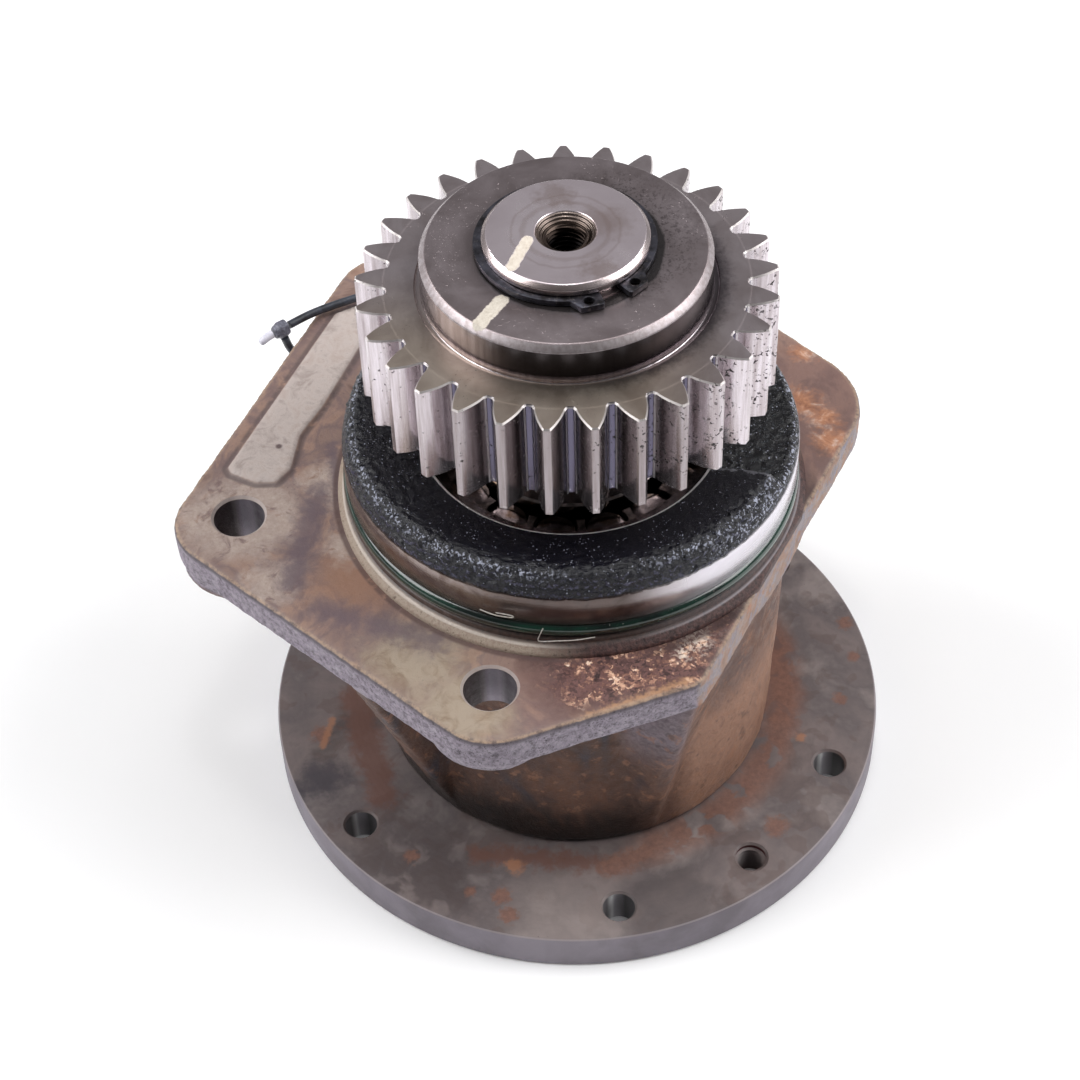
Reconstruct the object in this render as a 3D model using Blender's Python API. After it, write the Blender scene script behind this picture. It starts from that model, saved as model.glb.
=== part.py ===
"""Gear-driven flanged hub: a spur gear and a round drive flange on one shaft, carried by two
rolling bearings in a cast housing with a pilot spigot and a four-hole mounting flange.

Z is the shaft's axis and z = 0 is the outer face of the drive flange. Lengths below are in
millimetres and are turned into metres where a mesh is made. Neighbouring pieces that touch on
the real machine are kept FIT apart.
"""

import math

import bmesh
import bpy
from mathutils import Vector

MM = 0.001
FIT = 0.3
# The balls keep a little more, because their faceted grooves cut inside the true arc
BALL_FIT = 0.45
# Facets round a large turned piece and round a small one
LARGE_ROUND = 48
SMALL_ROUND = 40

# Drive gear: standard 20 degree involute teeth
MODULE = 3.5
TEETH = 29
PRESSURE_ANGLE = math.radians(25.0)
TOOTH_PHASE = math.radians(89.05)
GEAR_BOTTOM = 146.8
GEAR_TOP = 177.3
HUB_TOP = 188.3
HUB_RADIUS = 37.3
HUB_NOSE_RADIUS = 27.0

# Shaft and drive flange
DISC_RADIUS = 90.5
DISC_THICKNESS = 12.4
DISC_HOLE_CIRCLE = 80.0
DISC_HOLE_RADIUS = 4.6
DISC_HOLE_COUNT = 6
DISC_HOLE_PHASE = 36.5
JACK_HOLE_RADIUS = 4.2
JACK_HOLE_ANGLES = (126.5, 306.5)
SHAFT_TOP = 193.4
SHAFT_END_RADIUS = 21.3
SEAL_JOURNAL_RADIUS = 35.0
TAPPED_HOLE_RADIUS = 5.5
TAPPED_HOLE_DEPTH = 30.0
CENTRE_MOUTH_RADIUS = 7.8

# Housing: z levels
BODY_BOTTOM = 13.4
BODY_INSIDE_RADIUS = 52.5
BODY_BOTTOM_RADIUS = 57.5
BODY_TOP_RADIUS = 60.8
PLATE_BOTTOM = 93.4
PLATE_TOP = 104.1
SPIGOT_FOOT = 107.3
SPIGOT_RADIUS = 61.8
SPIGOT_FOOT_RADIUS = 64.4
SPIGOT_ROUGH_FROM = 124.1
SPIGOT_TOP = 131.2
LIP_TOP = 126.0
LIP_RADIUS = 40.5
POCKET_ANGLES = (-27.0, 62.0)
POCKET_FLOOR = 125.2
O_RING_Z = 111.6
O_RING_SECTION = 2.2
O_RING_CENTRE_RADIUS = 60.2

# Mounting flange outline: straight edges as (direction of the outward normal, distance from
# the axis), each followed by the radius of the corner that joins it to the next edge
PLATE_EDGES = (
    (155.3, 96.3, 17.4),
    (227.4, 87.1, 17.9),
    (288.3, 80.3, 8.0),
    (331.4, 62.8, 24.0),
    (401.3, 85.8, 18.0),
    (439.6, 86.8, 18.0),
)
FLAT_SIDE = (331.4, 62.8)
# Pad corners: distance from the axis along the first edge's normal, and run along that edge
PAD_CORNERS = (
    (90.4, 32.0),
    (88.6, 33.6),
    (80.5, 34.2),
    (75.0, 31.8),
    (73.6, 26.0),
    (77.2, 13.0),
    (76.4, 0.0),
    (78.0, -40.0),
    (86.0, -42.0),
    (90.6, -36.0),
)
PAD_HEIGHT = 0.7
# Bolt holes: x, y, level of the boss face underneath
BOLT_HOLES = (
    (-91.3, -9.4, 87.6),
    (-23.5, -73.1, 90.3),
    (-48.8, 79.7, 91.9),
    (36.1, 67.8, 90.3),
)
BOLT_HOLE_RADIUS = 7.0
BOSS_RADIUS = 17.0
LOBE_BOTTOM = 86.0

# Upper bearing: cylindrical roller bearing 45 x 85 x 19
UPPER_BOTTOM = 103.2
UPPER_TOP = 122.2
UPPER_BORE = 22.5
UPPER_OUTSIDE = 42.5
ROLLER_COUNT = 15
ROLLER_RADIUS = 5.5
ROLLER_LENGTH = 11.8
ROLLER_CIRCLE = 32.75
ROLLER_PHASE = 21.0

# Lower bearing: deep groove ball bearing 55 x 100 x 21
LOWER_BOTTOM = 28.6
LOWER_TOP = 49.6
LOWER_BORE = 27.5
LOWER_OUTSIDE = 50.0
BALL_COUNT = 10
BALL_RADIUS = 7.14
BALL_CIRCLE = 38.75

# Shaft seal under the lower bearing
SEAL_BOTTOM = 14.4
SEAL_TOP = 24.4

# External circlip on the shaft end
CIRCLIP_BOTTOM = HUB_TOP + FIT
CIRCLIP_THICKNESS = 1.75
CIRCLIP_GAP_ANGLE = -61.5
CIRCLIP_LUG_OFFSET = 16.5

# Tag tie: looped through the hidden bolt hole and round the flange's edge
TIE_RADIUS = 1.2


def clear_scene():
    for old in list(bpy.data.objects):
        bpy.data.objects.remove(old, do_unlink=True)


def polar(radius, degrees):
    angle = math.radians(degrees)
    return radius * math.cos(angle), radius * math.sin(angle)


def make_material(name, colour, roughness, metallic):
    material = bpy.data.materials.new(name)
    material.use_nodes = True
    shader = material.node_tree.nodes["Principled BSDF"]
    shader.inputs["Base Color"].default_value = (*colour, 1.0)
    shader.inputs["Roughness"].default_value = roughness
    shader.inputs["Metallic"].default_value = metallic
    return material


def add_object(name, bm, material=None, crease=35.0):
    """Turn a bmesh in millimetres into an object in metres with outward faces."""
    bmesh.ops.remove_doubles(bm, verts=bm.verts, dist=0.0005)
    bmesh.ops.recalc_face_normals(bm, faces=bm.faces)
    bmesh.ops.scale(bm, vec=Vector((MM, MM, MM)), verts=bm.verts)
    mesh = bpy.data.meshes.new(name)
    bm.to_mesh(mesh)
    bm.free()
    mesh.shade_smooth()
    mesh.set_sharp_from_angle(angle=math.radians(crease))
    obj = bpy.data.objects.new(name, mesh)
    bpy.context.scene.collection.objects.link(obj)
    if material:
        mesh.materials.append(material)
    return obj


def lathe(profile, segments):
    """Spin a closed (radius, z) profile about Z; radius 0 is allowed for solid pieces."""
    bm = bmesh.new()
    rings = []
    for radius, z in profile:
        if radius < 1e-6:
            rings.append([bm.verts.new((0.0, 0.0, z))])
            continue
        step = 360.0 / segments
        rings.append([bm.verts.new((*polar(radius, i * step), z)) for i in range(segments)])
    for ring, following in zip(rings, rings[1:] + rings[:1]):
        for i in range(segments):
            corners = []
            for vert in (
                ring[i % len(ring)],
                ring[(i + 1) % len(ring)],
                following[(i + 1) % len(following)],
                following[i % len(following)],
            ):
                if vert not in corners:
                    corners.append(vert)
            if len(corners) > 2:
                bm.faces.new(corners)
    return bm


def prism(outline, bottom, top):
    """Extrude a closed outline of (x, y) points from one level to another."""
    bm = bmesh.new()
    face = bm.faces.new([bm.verts.new((x, y, bottom)) for x, y in outline])
    extruded = bmesh.ops.extrude_face_region(bm, geom=[face])
    raised = [item for item in extruded["geom"] if isinstance(item, bmesh.types.BMVert)]
    bmesh.ops.translate(bm, vec=Vector((0, 0, top - bottom)), verts=raised)
    return bm


def loft(bottom_outline, bottom, top_outline, top):
    """Join two outlines with the same number of points at two levels."""
    bm = bmesh.new()
    low = [bm.verts.new((x, y, bottom)) for x, y in bottom_outline]
    high = [bm.verts.new((x, y, top)) for x, y in top_outline]
    bm.faces.new(low)
    bm.faces.new(high)
    for i in range(len(low)):
        j = (i + 1) % len(low)
        bm.faces.new((low[i], low[j], high[j], high[i]))
    return bm


def circle(radius, segments, centre=(0.0, 0.0)):
    step = 360.0 / segments
    return [
        (centre[0] + radius * math.cos(math.radians(i * step)),
         centre[1] + radius * math.sin(math.radians(i * step)))
        for i in range(segments)
    ]


def arc(centre, radius, start, end, steps):
    """Points of an arc in any plane, from one angle to another in degrees."""
    points = []
    for i in range(steps + 1):
        dx, dy = polar(radius, start + (end - start) * i / steps)
        points.append((centre[0] + dx, centre[1] + dy))
    return points


def combine(target, tool_bm, operation, label):
    """Cut or add a hidden tool solid on a finished object."""
    tool = add_object(f"{target.name}_{label}", tool_bm)
    tool.hide_render = True
    tool.display_type = "WIRE"
    modifier = target.modifiers.new(label, "BOOLEAN")
    modifier.operation = operation
    modifier.solver = "EXACT"
    modifier.object = tool
    return tool


def merge(parts):
    """Gather several bmeshes into one, for tools that act together."""
    whole = parts[0]
    for part in parts[1:]:
        mesh = bpy.data.meshes.new("tool")
        part.to_mesh(mesh)
        part.free()
        whole.from_mesh(mesh)
        bpy.data.meshes.remove(mesh)
    return whole


def rounded_outline(edges, inset=0.0, steps=5):
    """Outline from straight edges and the corner radius that follows each of them."""
    points = []
    for (angle, reach, radius), (next_angle, next_reach, _) in zip(edges, edges[1:] + edges[:1]):
        turn = (next_angle - angle) % 360.0
        reach_a, reach_b = reach - inset, next_reach - inset
        radius = max(radius - inset, 1.0)
        normal_a, normal_b = polar(1.0, angle), polar(1.0, next_angle)
        cross = normal_a[0] * normal_b[1] - normal_a[1] * normal_b[0]
        inner_a, inner_b = reach_a - radius, reach_b - radius
        centre = (
            (inner_a * normal_b[1] - inner_b * normal_a[1]) / cross,
            (inner_b * normal_a[0] - inner_a * normal_b[0]) / cross,
        )
        points += arc(centre, radius, angle, angle + turn, steps)
    return points


# ---------------------------------------------------------------- housing


def spigot_and_body():
    """Solid turned core: tapered body, spigot with O-ring groove, raised rough rim."""
    groove_low = O_RING_Z - O_RING_SECTION - FIT
    groove_high = O_RING_Z + O_RING_SECTION + FIT
    groove_radius = O_RING_CENTRE_RADIUS - O_RING_SECTION - FIT
    profile = [
        (0.0, BODY_BOTTOM),
        (BODY_BOTTOM_RADIUS, BODY_BOTTOM),
        (BODY_TOP_RADIUS, PLATE_BOTTOM + 2.0),
        (BODY_TOP_RADIUS + 1.0, PLATE_TOP - 3.0),
        (SPIGOT_FOOT_RADIUS, PLATE_TOP - 3.0),
        (SPIGOT_FOOT_RADIUS, PLATE_TOP + 0.4),
        (SPIGOT_RADIUS, SPIGOT_FOOT),
        (SPIGOT_RADIUS, groove_low),
        (groove_radius, groove_low),
        (groove_radius, groove_high),
        (SPIGOT_RADIUS, groove_high),
        (SPIGOT_RADIUS, SPIGOT_ROUGH_FROM),
        (60.6, 126.6),
        (59.4, 129.4),
        (57.4, SPIGOT_TOP),
        (54.5, 130.8),
        (LIP_RADIUS - 2.0, LIP_TOP - 0.6),
        (0.0, LIP_TOP - 0.6),
    ]
    return lathe(profile, LARGE_ROUND)


def inside_of_housing():
    """Tool for every bore: seal and bearing seats, oil space, snap ring grooves, lip."""
    lower_seat = LOWER_OUTSIDE + FIT
    upper_seat = UPPER_OUTSIDE + FIT
    profile = [
        (0.0, BODY_BOTTOM - 5.0),
        (lower_seat + 1.0, BODY_BOTTOM - 5.0),
        (lower_seat + 1.0, BODY_BOTTOM),
        (lower_seat, BODY_BOTTOM + 1.0),
        (lower_seat, 25.0),
        (lower_seat + 2.4, 25.0),
        (lower_seat + 2.4, 28.3),
        (lower_seat, 28.3),
        (lower_seat, LOWER_TOP + FIT),
        (46.0, LOWER_TOP + FIT),
        (46.0, 96.0),
        (upper_seat, 98.0),
        (upper_seat, 99.2),
        (upper_seat + 2.0, 99.2),
        (upper_seat + 2.0, 102.9),
        (upper_seat, 102.9),
        (upper_seat, UPPER_TOP + FIT),
        (LIP_RADIUS, UPPER_TOP + FIT),
        (LIP_RADIUS, LIP_TOP - 0.5),
        (LIP_RADIUS + 1.0, LIP_TOP + 0.6),
        (LIP_RADIUS + 1.0, SPIGOT_TOP + 5.0),
        (0.0, SPIGOT_TOP + 5.0),
    ]
    return lathe(profile, LARGE_ROUND)


def pocket_tool():
    """Sector above the lip level where the rough rim is missing."""
    start, end = POCKET_ANGLES
    outline = [(0.0, 0.0)] + arc((0.0, 0.0), 75.0, start, end, 8)
    return prism(outline, POCKET_FLOOR, SPIGOT_TOP + 5.0)


def edge_rib(angle, foot_reach, thickness):
    """Triangular web in a radial plane from the plate's underside to the body's foot."""
    bm = bmesh.new()
    across = Vector((*polar(1.0, angle + 90.0), 0.0)) * (thickness / 2)
    along = Vector((*polar(1.0, angle), 0.0))
    corners = (
        (BODY_INSIDE_RADIUS, PLATE_BOTTOM + 3.0),
        (foot_reach, PLATE_BOTTOM + 3.0),
        (foot_reach, PLATE_BOTTOM - 1.5),
        (BODY_BOTTOM_RADIUS - 0.6, BODY_BOTTOM + 1.5),
        (BODY_INSIDE_RADIUS, BODY_BOTTOM + 1.5),
    )
    sides = []
    for sign in (-1.0, 1.0):
        sides.append([
            bm.verts.new(along * reach + across * sign + Vector((0.0, 0.0, z)))
            for reach, z in corners
        ])
    bm.faces.new(sides[0])
    bm.faces.new(sides[1])
    for i in range(len(corners)):
        j = (i + 1) % len(corners)
        bm.faces.new((sides[0][i], sides[0][j], sides[1][j], sides[1][i]))
    return bm


def blunt_corner_buttress():
    """Wedge under the blunt corner, flush with the flat side at the plate and lost in the
    body at the foot."""
    flat_angle, flat_reach = FLAT_SIDE
    tangent = polar(flat_reach - 0.4, flat_angle)
    arris_top = (30.4, -71.6)
    top = [tangent, (tangent[0] * 0.8, tangent[1] * 0.8), (8.0, -52.0), (6.0, -59.0), arris_top]
    foot = [
        polar(BODY_BOTTOM_RADIUS - 0.4, -48.0),
        polar(BODY_INSIDE_RADIUS, -48.0),
        polar(BODY_INSIDE_RADIUS, -76.0),
        polar(BODY_BOTTOM_RADIUS - 0.4, -76.0),
        polar(BODY_BOTTOM_RADIUS + 0.3, -69.5),
    ]
    return loft(foot, BODY_BOTTOM + 1.0, top, PLATE_BOTTOM + 2.0)


def lobe_thickening():
    """Lower layer under the large lobe, drawn in slightly and drafted."""
    def outline(inset):
        flat, lobe, top_right = PLATE_EDGES[3], PLATE_EDGES[4], PLATE_EDGES[5]
        corner = rounded_outline((flat, lobe, top_right), inset, 6)[:7]
        start = polar(flat[1] - inset, flat[0])
        end = polar(lobe[1] - inset, lobe[0] + 14.0)
        return [start] + corner + [end, polar(54.0, 60.0), polar(54.0, 10.0)]

    return loft(outline(3.0), LOBE_BOTTOM, outline(0.9), PLATE_BOTTOM + 1.5)


def raised_pad():
    """Thin machined pad along the flange's long edge, between two bolt holes."""
    edge_angle = PLATE_EDGES[0][0]
    out = polar(1.0, edge_angle)
    along = polar(1.0, edge_angle + 90.0)
    outline = [
        (out[0] * reach + along[0] * run, out[1] * reach + along[1] * run)
        for reach, run in PAD_CORNERS
    ]
    return prism(outline, PLATE_TOP - 1.0, PLATE_TOP + PAD_HEIGHT)


def build_housing(material):
    housing = add_object("bearing_housing", spigot_and_body(), material)
    plate = prism(rounded_outline(PLATE_EDGES), PLATE_BOTTOM, PLATE_TOP)
    combine(housing, plate, "UNION", "plate")
    for index, (x, y, level) in enumerate(BOLT_HOLES):
        boss = prism(circle(BOSS_RADIUS, 24, (x, y)), level, PLATE_BOTTOM + 4.0)
        combine(housing, boss, "UNION", f"boss_{index + 1}")
    combine(housing, edge_rib(226.5, 85.4, 8.0), "UNION", "front_rib")
    combine(housing, edge_rib(80.0, 84.0, 8.0), "UNION", "rear_rib")
    combine(housing, blunt_corner_buttress(), "UNION", "buttress")
    combine(housing, lobe_thickening(), "UNION", "lobe")
    combine(housing, raised_pad(), "UNION", "pad")
    combine(housing, inside_of_housing(), "DIFFERENCE", "bores")
    combine(housing, pocket_tool(), "DIFFERENCE", "pocket")
    holes = [
        prism(circle(BOLT_HOLE_RADIUS, 20, (x, y)), level - 5.0, PLATE_TOP + 5.0)
        for x, y, level in BOLT_HOLES
    ]
    combine(housing, merge(holes), "DIFFERENCE", "bolt_holes")
    flat_angle, flat_reach = FLAT_SIDE
    side = polar(1.0, flat_angle + 90.0)
    near = polar(flat_reach, flat_angle)
    far = polar(flat_reach + 20.0, flat_angle)
    slab = [
        (near[0] - side[0] * 30.0, near[1] - side[1] * 30.0),
        (far[0] - side[0] * 30.0, far[1] - side[1] * 30.0),
        (far[0] + side[0] * 30.0, far[1] + side[1] * 30.0),
        (near[0] + side[0] * 30.0, near[1] + side[1] * 30.0),
    ]
    combine(housing, prism(slab, PLATE_TOP - 6.0, SPIGOT_FOOT + 0.2), "DIFFERENCE", "flat_side")
    return housing


# ---------------------------------------------------------------- shaft and gear


def build_shaft(material):
    """Shaft with its drive flange forged on."""
    groove = 19.4
    profile = [
        (0.0, 0.0),
        (28.0, 0.0),
        (29.0, 1.2),
        (66.0, 1.2),
        (67.0, 0.0),
        (DISC_RADIUS - 0.8, 0.0),
        (DISC_RADIUS, 0.8),
        (DISC_RADIUS, DISC_THICKNESS - 0.8),
        (DISC_RADIUS - 0.8, DISC_THICKNESS),
        (SEAL_JOURNAL_RADIUS + 1.5, DISC_THICKNESS),
        (SEAL_JOURNAL_RADIUS, DISC_THICKNESS + 1.5),
        (SEAL_JOURNAL_RADIUS, LOWER_BOTTOM - FIT),
        (LOWER_BORE - FIT, LOWER_BOTTOM - FIT),
        (LOWER_BORE - FIT, LOWER_TOP),
        (UPPER_BORE - FIT, LOWER_TOP),
        (UPPER_BORE - FIT, UPPER_TOP),
        (SHAFT_END_RADIUS, UPPER_TOP),
        (SHAFT_END_RADIUS, HUB_TOP),
        (groove, HUB_TOP),
        (groove, CIRCLIP_BOTTOM + CIRCLIP_THICKNESS + FIT),
        (SHAFT_END_RADIUS, CIRCLIP_BOTTOM + CIRCLIP_THICKNESS + FIT),
        (SHAFT_END_RADIUS, SHAFT_TOP - 1.0),
        (SHAFT_END_RADIUS - 1.5, SHAFT_TOP),
        (0.0, SHAFT_TOP),
    ]
    shaft = add_object("output_shaft", lathe(profile, LARGE_ROUND), material)
    mouth_depth = CENTRE_MOUTH_RADIUS - TAPPED_HOLE_RADIUS
    tapped = lathe([
        (0.0, SHAFT_TOP - TAPPED_HOLE_DEPTH - 2.5),
        (TAPPED_HOLE_RADIUS, SHAFT_TOP - TAPPED_HOLE_DEPTH),
        (TAPPED_HOLE_RADIUS, SHAFT_TOP - mouth_depth),
        (CENTRE_MOUTH_RADIUS + 1.0, SHAFT_TOP + 1.0),
        (0.0, SHAFT_TOP + 1.0),
    ], 20)
    combine(shaft, tapped, "DIFFERENCE", "tapped_hole")
    holes = []
    for index in range(DISC_HOLE_COUNT):
        centre = polar(DISC_HOLE_CIRCLE, DISC_HOLE_PHASE + 360.0 * index / DISC_HOLE_COUNT)
        holes.append(prism(circle(DISC_HOLE_RADIUS, 16, centre), -3.0, DISC_THICKNESS + 3.0))
    for angle in JACK_HOLE_ANGLES:
        centre = polar(DISC_HOLE_CIRCLE, angle)
        holes.append(prism(circle(JACK_HOLE_RADIUS, 16, centre), -3.0, DISC_THICKNESS + 3.0))
    combine(shaft, merge(holes), "DIFFERENCE", "flange_holes")
    return shaft


def involute(angle):
    return math.tan(angle) - angle


def tooth_outline():
    """Full gear outline with involute flanks, tip lands and rounded roots."""
    pitch_radius = MODULE * TEETH / 2
    base_radius = pitch_radius * math.cos(PRESSURE_ANGLE)
    tip_radius = pitch_radius + MODULE
    root_radius = pitch_radius - 1.25 * MODULE
    half_at_base = math.pi / (2 * TEETH) + involute(PRESSURE_ANGLE)
    form_radius = root_radius + 0.9
    flank_steps = 3
    points = []
    for tooth in range(TEETH):
        centre = TOOTH_PHASE + 2 * math.pi * tooth / TEETH
        flank = []
        for step in range(flank_steps + 1):
            radius = form_radius + (tip_radius - form_radius) * step / flank_steps
            half = half_at_base - involute(math.acos(base_radius / radius))
            flank.append((radius, half))
        foot = [(root_radius, half_at_base * 1.15), (root_radius + 0.35, half_at_base * 1.03)]
        side = foot + flank
        for radius, half in side:
            points.append((radius * math.cos(centre - half), radius * math.sin(centre - half)))
        for radius, half in reversed(side):
            points.append((radius * math.cos(centre + half), radius * math.sin(centre + half)))
    return points


def build_gear(material):
    gear = add_object("drive_gear", prism(tooth_outline(), GEAR_BOTTOM, GEAR_TOP), material, 30.0)
    hub = lathe([
        (0.0, UPPER_TOP + FIT),
        (HUB_NOSE_RADIUS, UPPER_TOP + FIT),
        (HUB_NOSE_RADIUS, 138.0),
        (HUB_NOSE_RADIUS + 5.0, 144.0),
        (HUB_NOSE_RADIUS + 5.0, GEAR_BOTTOM + 5.0),
        (HUB_RADIUS - 2.0, GEAR_TOP - 3.0),
        (HUB_RADIUS + 1.6, GEAR_TOP - 0.4),
        (HUB_RADIUS + 0.4, GEAR_TOP + 0.5),
        (HUB_RADIUS, GEAR_TOP + 1.6),
        (HUB_RADIUS, HUB_TOP - 1.8),
        (HUB_RADIUS - 1.6, HUB_TOP),
        (0.0, HUB_TOP),
    ], LARGE_ROUND)
    combine(gear, hub, "UNION", "hub")
    bore_radius = SHAFT_END_RADIUS + FIT
    combine(gear, prism(circle(bore_radius, SMALL_ROUND), 115.0, 200.0), "DIFFERENCE", "bore")
    return gear


def circlip_outline():
    """External snap ring: tapered ring, open gap and two square plier lugs."""
    inner = 19.8
    lug_heel, lug_back, lug_front, gap_half = 28.0, 22.0, 8.5, 7.6
    heel_reach, lug_reach, gap_reach = 22.7, 25.6, 22.0
    steps = 28
    turn = 360.0 - 2 * lug_heel
    points = []
    for i in range(steps + 1):
        share = i / steps
        reach = heel_reach + 0.9 * math.sin(math.pi * share)
        points.append(polar(reach, CIRCLIP_GAP_ANGLE + lug_heel + turn * share))
    lug = ((lug_back, lug_reach), (lug_front, lug_reach), (gap_half, gap_reach))
    points += [polar(reach, CIRCLIP_GAP_ANGLE - angle) for angle, reach in lug]
    open_half = gap_half + 0.3
    for i in range(steps + 1):
        angle = CIRCLIP_GAP_ANGLE - open_half - (360.0 - 2 * open_half) * i / steps
        points.append(polar(inner, angle))
    points += [polar(reach, CIRCLIP_GAP_ANGLE + angle) for angle, reach in reversed(lug)]
    return points


def build_circlip(material):
    top = CIRCLIP_BOTTOM + CIRCLIP_THICKNESS
    circlip = add_object("gear_circlip", prism(circlip_outline(), CIRCLIP_BOTTOM, top), material)
    holes = [
        prism(circle(1.3, 12, polar(23.3, CIRCLIP_GAP_ANGLE + sign * CIRCLIP_LUG_OFFSET)),
              CIRCLIP_BOTTOM - 1.0, top + 1.0)
        for sign in (-1, 1)
    ]
    combine(circlip, merge(holes), "DIFFERENCE", "plier_holes")
    return circlip


# ---------------------------------------------------------------- bearings and seals


def ring(name, profile, material, segments=SMALL_ROUND):
    return add_object(name, lathe(profile, segments), material)


def build_upper_bearing(race, rolling, cage_material):
    rib_inner = 36.2
    track = ROLLER_CIRCLE + ROLLER_RADIUS + FIT
    middle = (UPPER_BOTTOM + UPPER_TOP) / 2
    track_half = ROLLER_LENGTH / 2 + FIT
    ring("upper_outer_ring", [
        (rib_inner, UPPER_BOTTOM),
        (UPPER_OUTSIDE - 1.0, UPPER_BOTTOM),
        (UPPER_OUTSIDE, UPPER_BOTTOM + 1.0),
        (UPPER_OUTSIDE, UPPER_TOP - 1.0),
        (UPPER_OUTSIDE - 1.0, UPPER_TOP),
        (rib_inner, UPPER_TOP),
        (rib_inner, middle + track_half),
        (track, middle + track_half),
        (track, middle - track_half),
        (rib_inner, middle - track_half),
    ], race)
    inner_track = ROLLER_CIRCLE - ROLLER_RADIUS - FIT
    ring("upper_inner_ring", [
        (UPPER_BORE, UPPER_BOTTOM),
        (inner_track - 0.8, UPPER_BOTTOM),
        (inner_track, UPPER_BOTTOM + 0.8),
        (inner_track, UPPER_TOP - 0.8),
        (inner_track - 0.8, UPPER_TOP),
        (UPPER_BORE, UPPER_TOP),
    ], race)
    roller = lathe([
        (0.0, -ROLLER_LENGTH / 2),
        (ROLLER_RADIUS - 0.6, -ROLLER_LENGTH / 2),
        (ROLLER_RADIUS, -ROLLER_LENGTH / 2 + 0.6),
        (ROLLER_RADIUS, ROLLER_LENGTH / 2 - 0.6),
        (ROLLER_RADIUS - 0.6, ROLLER_LENGTH / 2),
        (0.0, ROLLER_LENGTH / 2),
    ], 12)
    first = add_object("roller_01", roller, rolling)
    for index in range(ROLLER_COUNT):
        piece = first
        if index:
            piece = bpy.data.objects.new(f"roller_{index + 1:02d}", first.data)
            bpy.context.scene.collection.objects.link(piece)
        x, y = polar(ROLLER_CIRCLE, ROLLER_PHASE + 360.0 * index / ROLLER_COUNT)
        piece.location = Vector((x, y, middle)) * MM
    build_comb_cage(middle, cage_material)


def build_comb_cage(middle, material):
    """Ring under the rollers with a bar standing between each pair."""
    base_top = middle - ROLLER_LENGTH / 2 - FIT
    bar_top = middle + ROLLER_LENGTH / 2 + 1.2
    cage = ring("upper_cage", [
        (29.6, UPPER_BOTTOM + 0.4),
        (35.6, UPPER_BOTTOM + 0.4),
        (35.6, base_top),
        (29.6, base_top),
    ], material)
    bars = []
    for index in range(ROLLER_COUNT):
        angle = ROLLER_PHASE + 360.0 * (index + 0.5) / ROLLER_COUNT
        outline = []
        for reach, half_width in ((30.2, 1.15), (35.3, 1.75)):
            half = math.degrees(half_width / reach)
            outline.append((reach, half))
        corners = [
            polar(outline[0][0], angle - outline[0][1]),
            polar(ROLLER_CIRCLE, angle - math.degrees(0.85 / ROLLER_CIRCLE)),
            polar(outline[1][0], angle - outline[1][1]),
            polar(outline[1][0], angle + outline[1][1]),
            polar(ROLLER_CIRCLE, angle + math.degrees(0.85 / ROLLER_CIRCLE)),
            polar(outline[0][0], angle + outline[0][1]),
        ]
        bars.append(prism(corners, base_top - 1.0, bar_top))
    combine(cage, merge(bars), "UNION", "bars")


def build_lower_bearing(race, rolling, cage_material):
    middle = (LOWER_BOTTOM + LOWER_TOP) / 2
    groove = BALL_RADIUS + BALL_FIT
    outer_land, inner_land = 43.6, 33.9
    outer_open = math.degrees(math.acos((outer_land - BALL_CIRCLE) / groove))
    inner_open = math.degrees(math.acos((BALL_CIRCLE - inner_land) / groove))
    ring("lower_outer_ring", [
        (outer_land, LOWER_BOTTOM),
        (LOWER_OUTSIDE - 1.0, LOWER_BOTTOM),
        (LOWER_OUTSIDE, LOWER_BOTTOM + 1.0),
        (LOWER_OUTSIDE, LOWER_TOP - 1.0),
        (LOWER_OUTSIDE - 1.0, LOWER_TOP),
        (outer_land, LOWER_TOP),
    ] + arc((BALL_CIRCLE, middle), groove, outer_open, -outer_open, 4), race)
    ring("lower_inner_ring", [
        (inner_land, LOWER_TOP),
        (LOWER_BORE + 0.8, LOWER_TOP),
        (LOWER_BORE, LOWER_TOP - 0.8),
        (LOWER_BORE, LOWER_BOTTOM + 0.8),
        (LOWER_BORE + 0.8, LOWER_BOTTOM),
        (inner_land, LOWER_BOTTOM),
    ] + arc((BALL_CIRCLE, middle), groove, 180.0 + inner_open, 180.0 - inner_open, 4), race)
    bm = bmesh.new()
    bmesh.ops.create_uvsphere(bm, u_segments=12, v_segments=7, radius=BALL_RADIUS)
    first = add_object("ball_01", bm, rolling)
    for index in range(BALL_COUNT):
        piece = first
        if index:
            piece = bpy.data.objects.new(f"ball_{index + 1:02d}", first.data)
            bpy.context.scene.collection.objects.link(piece)
        x, y = polar(BALL_CIRCLE, 360.0 * (index + 0.5) / BALL_COUNT)
        piece.location = Vector((x, y, middle)) * MM
    build_window_cage(middle, cage_material)


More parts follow.
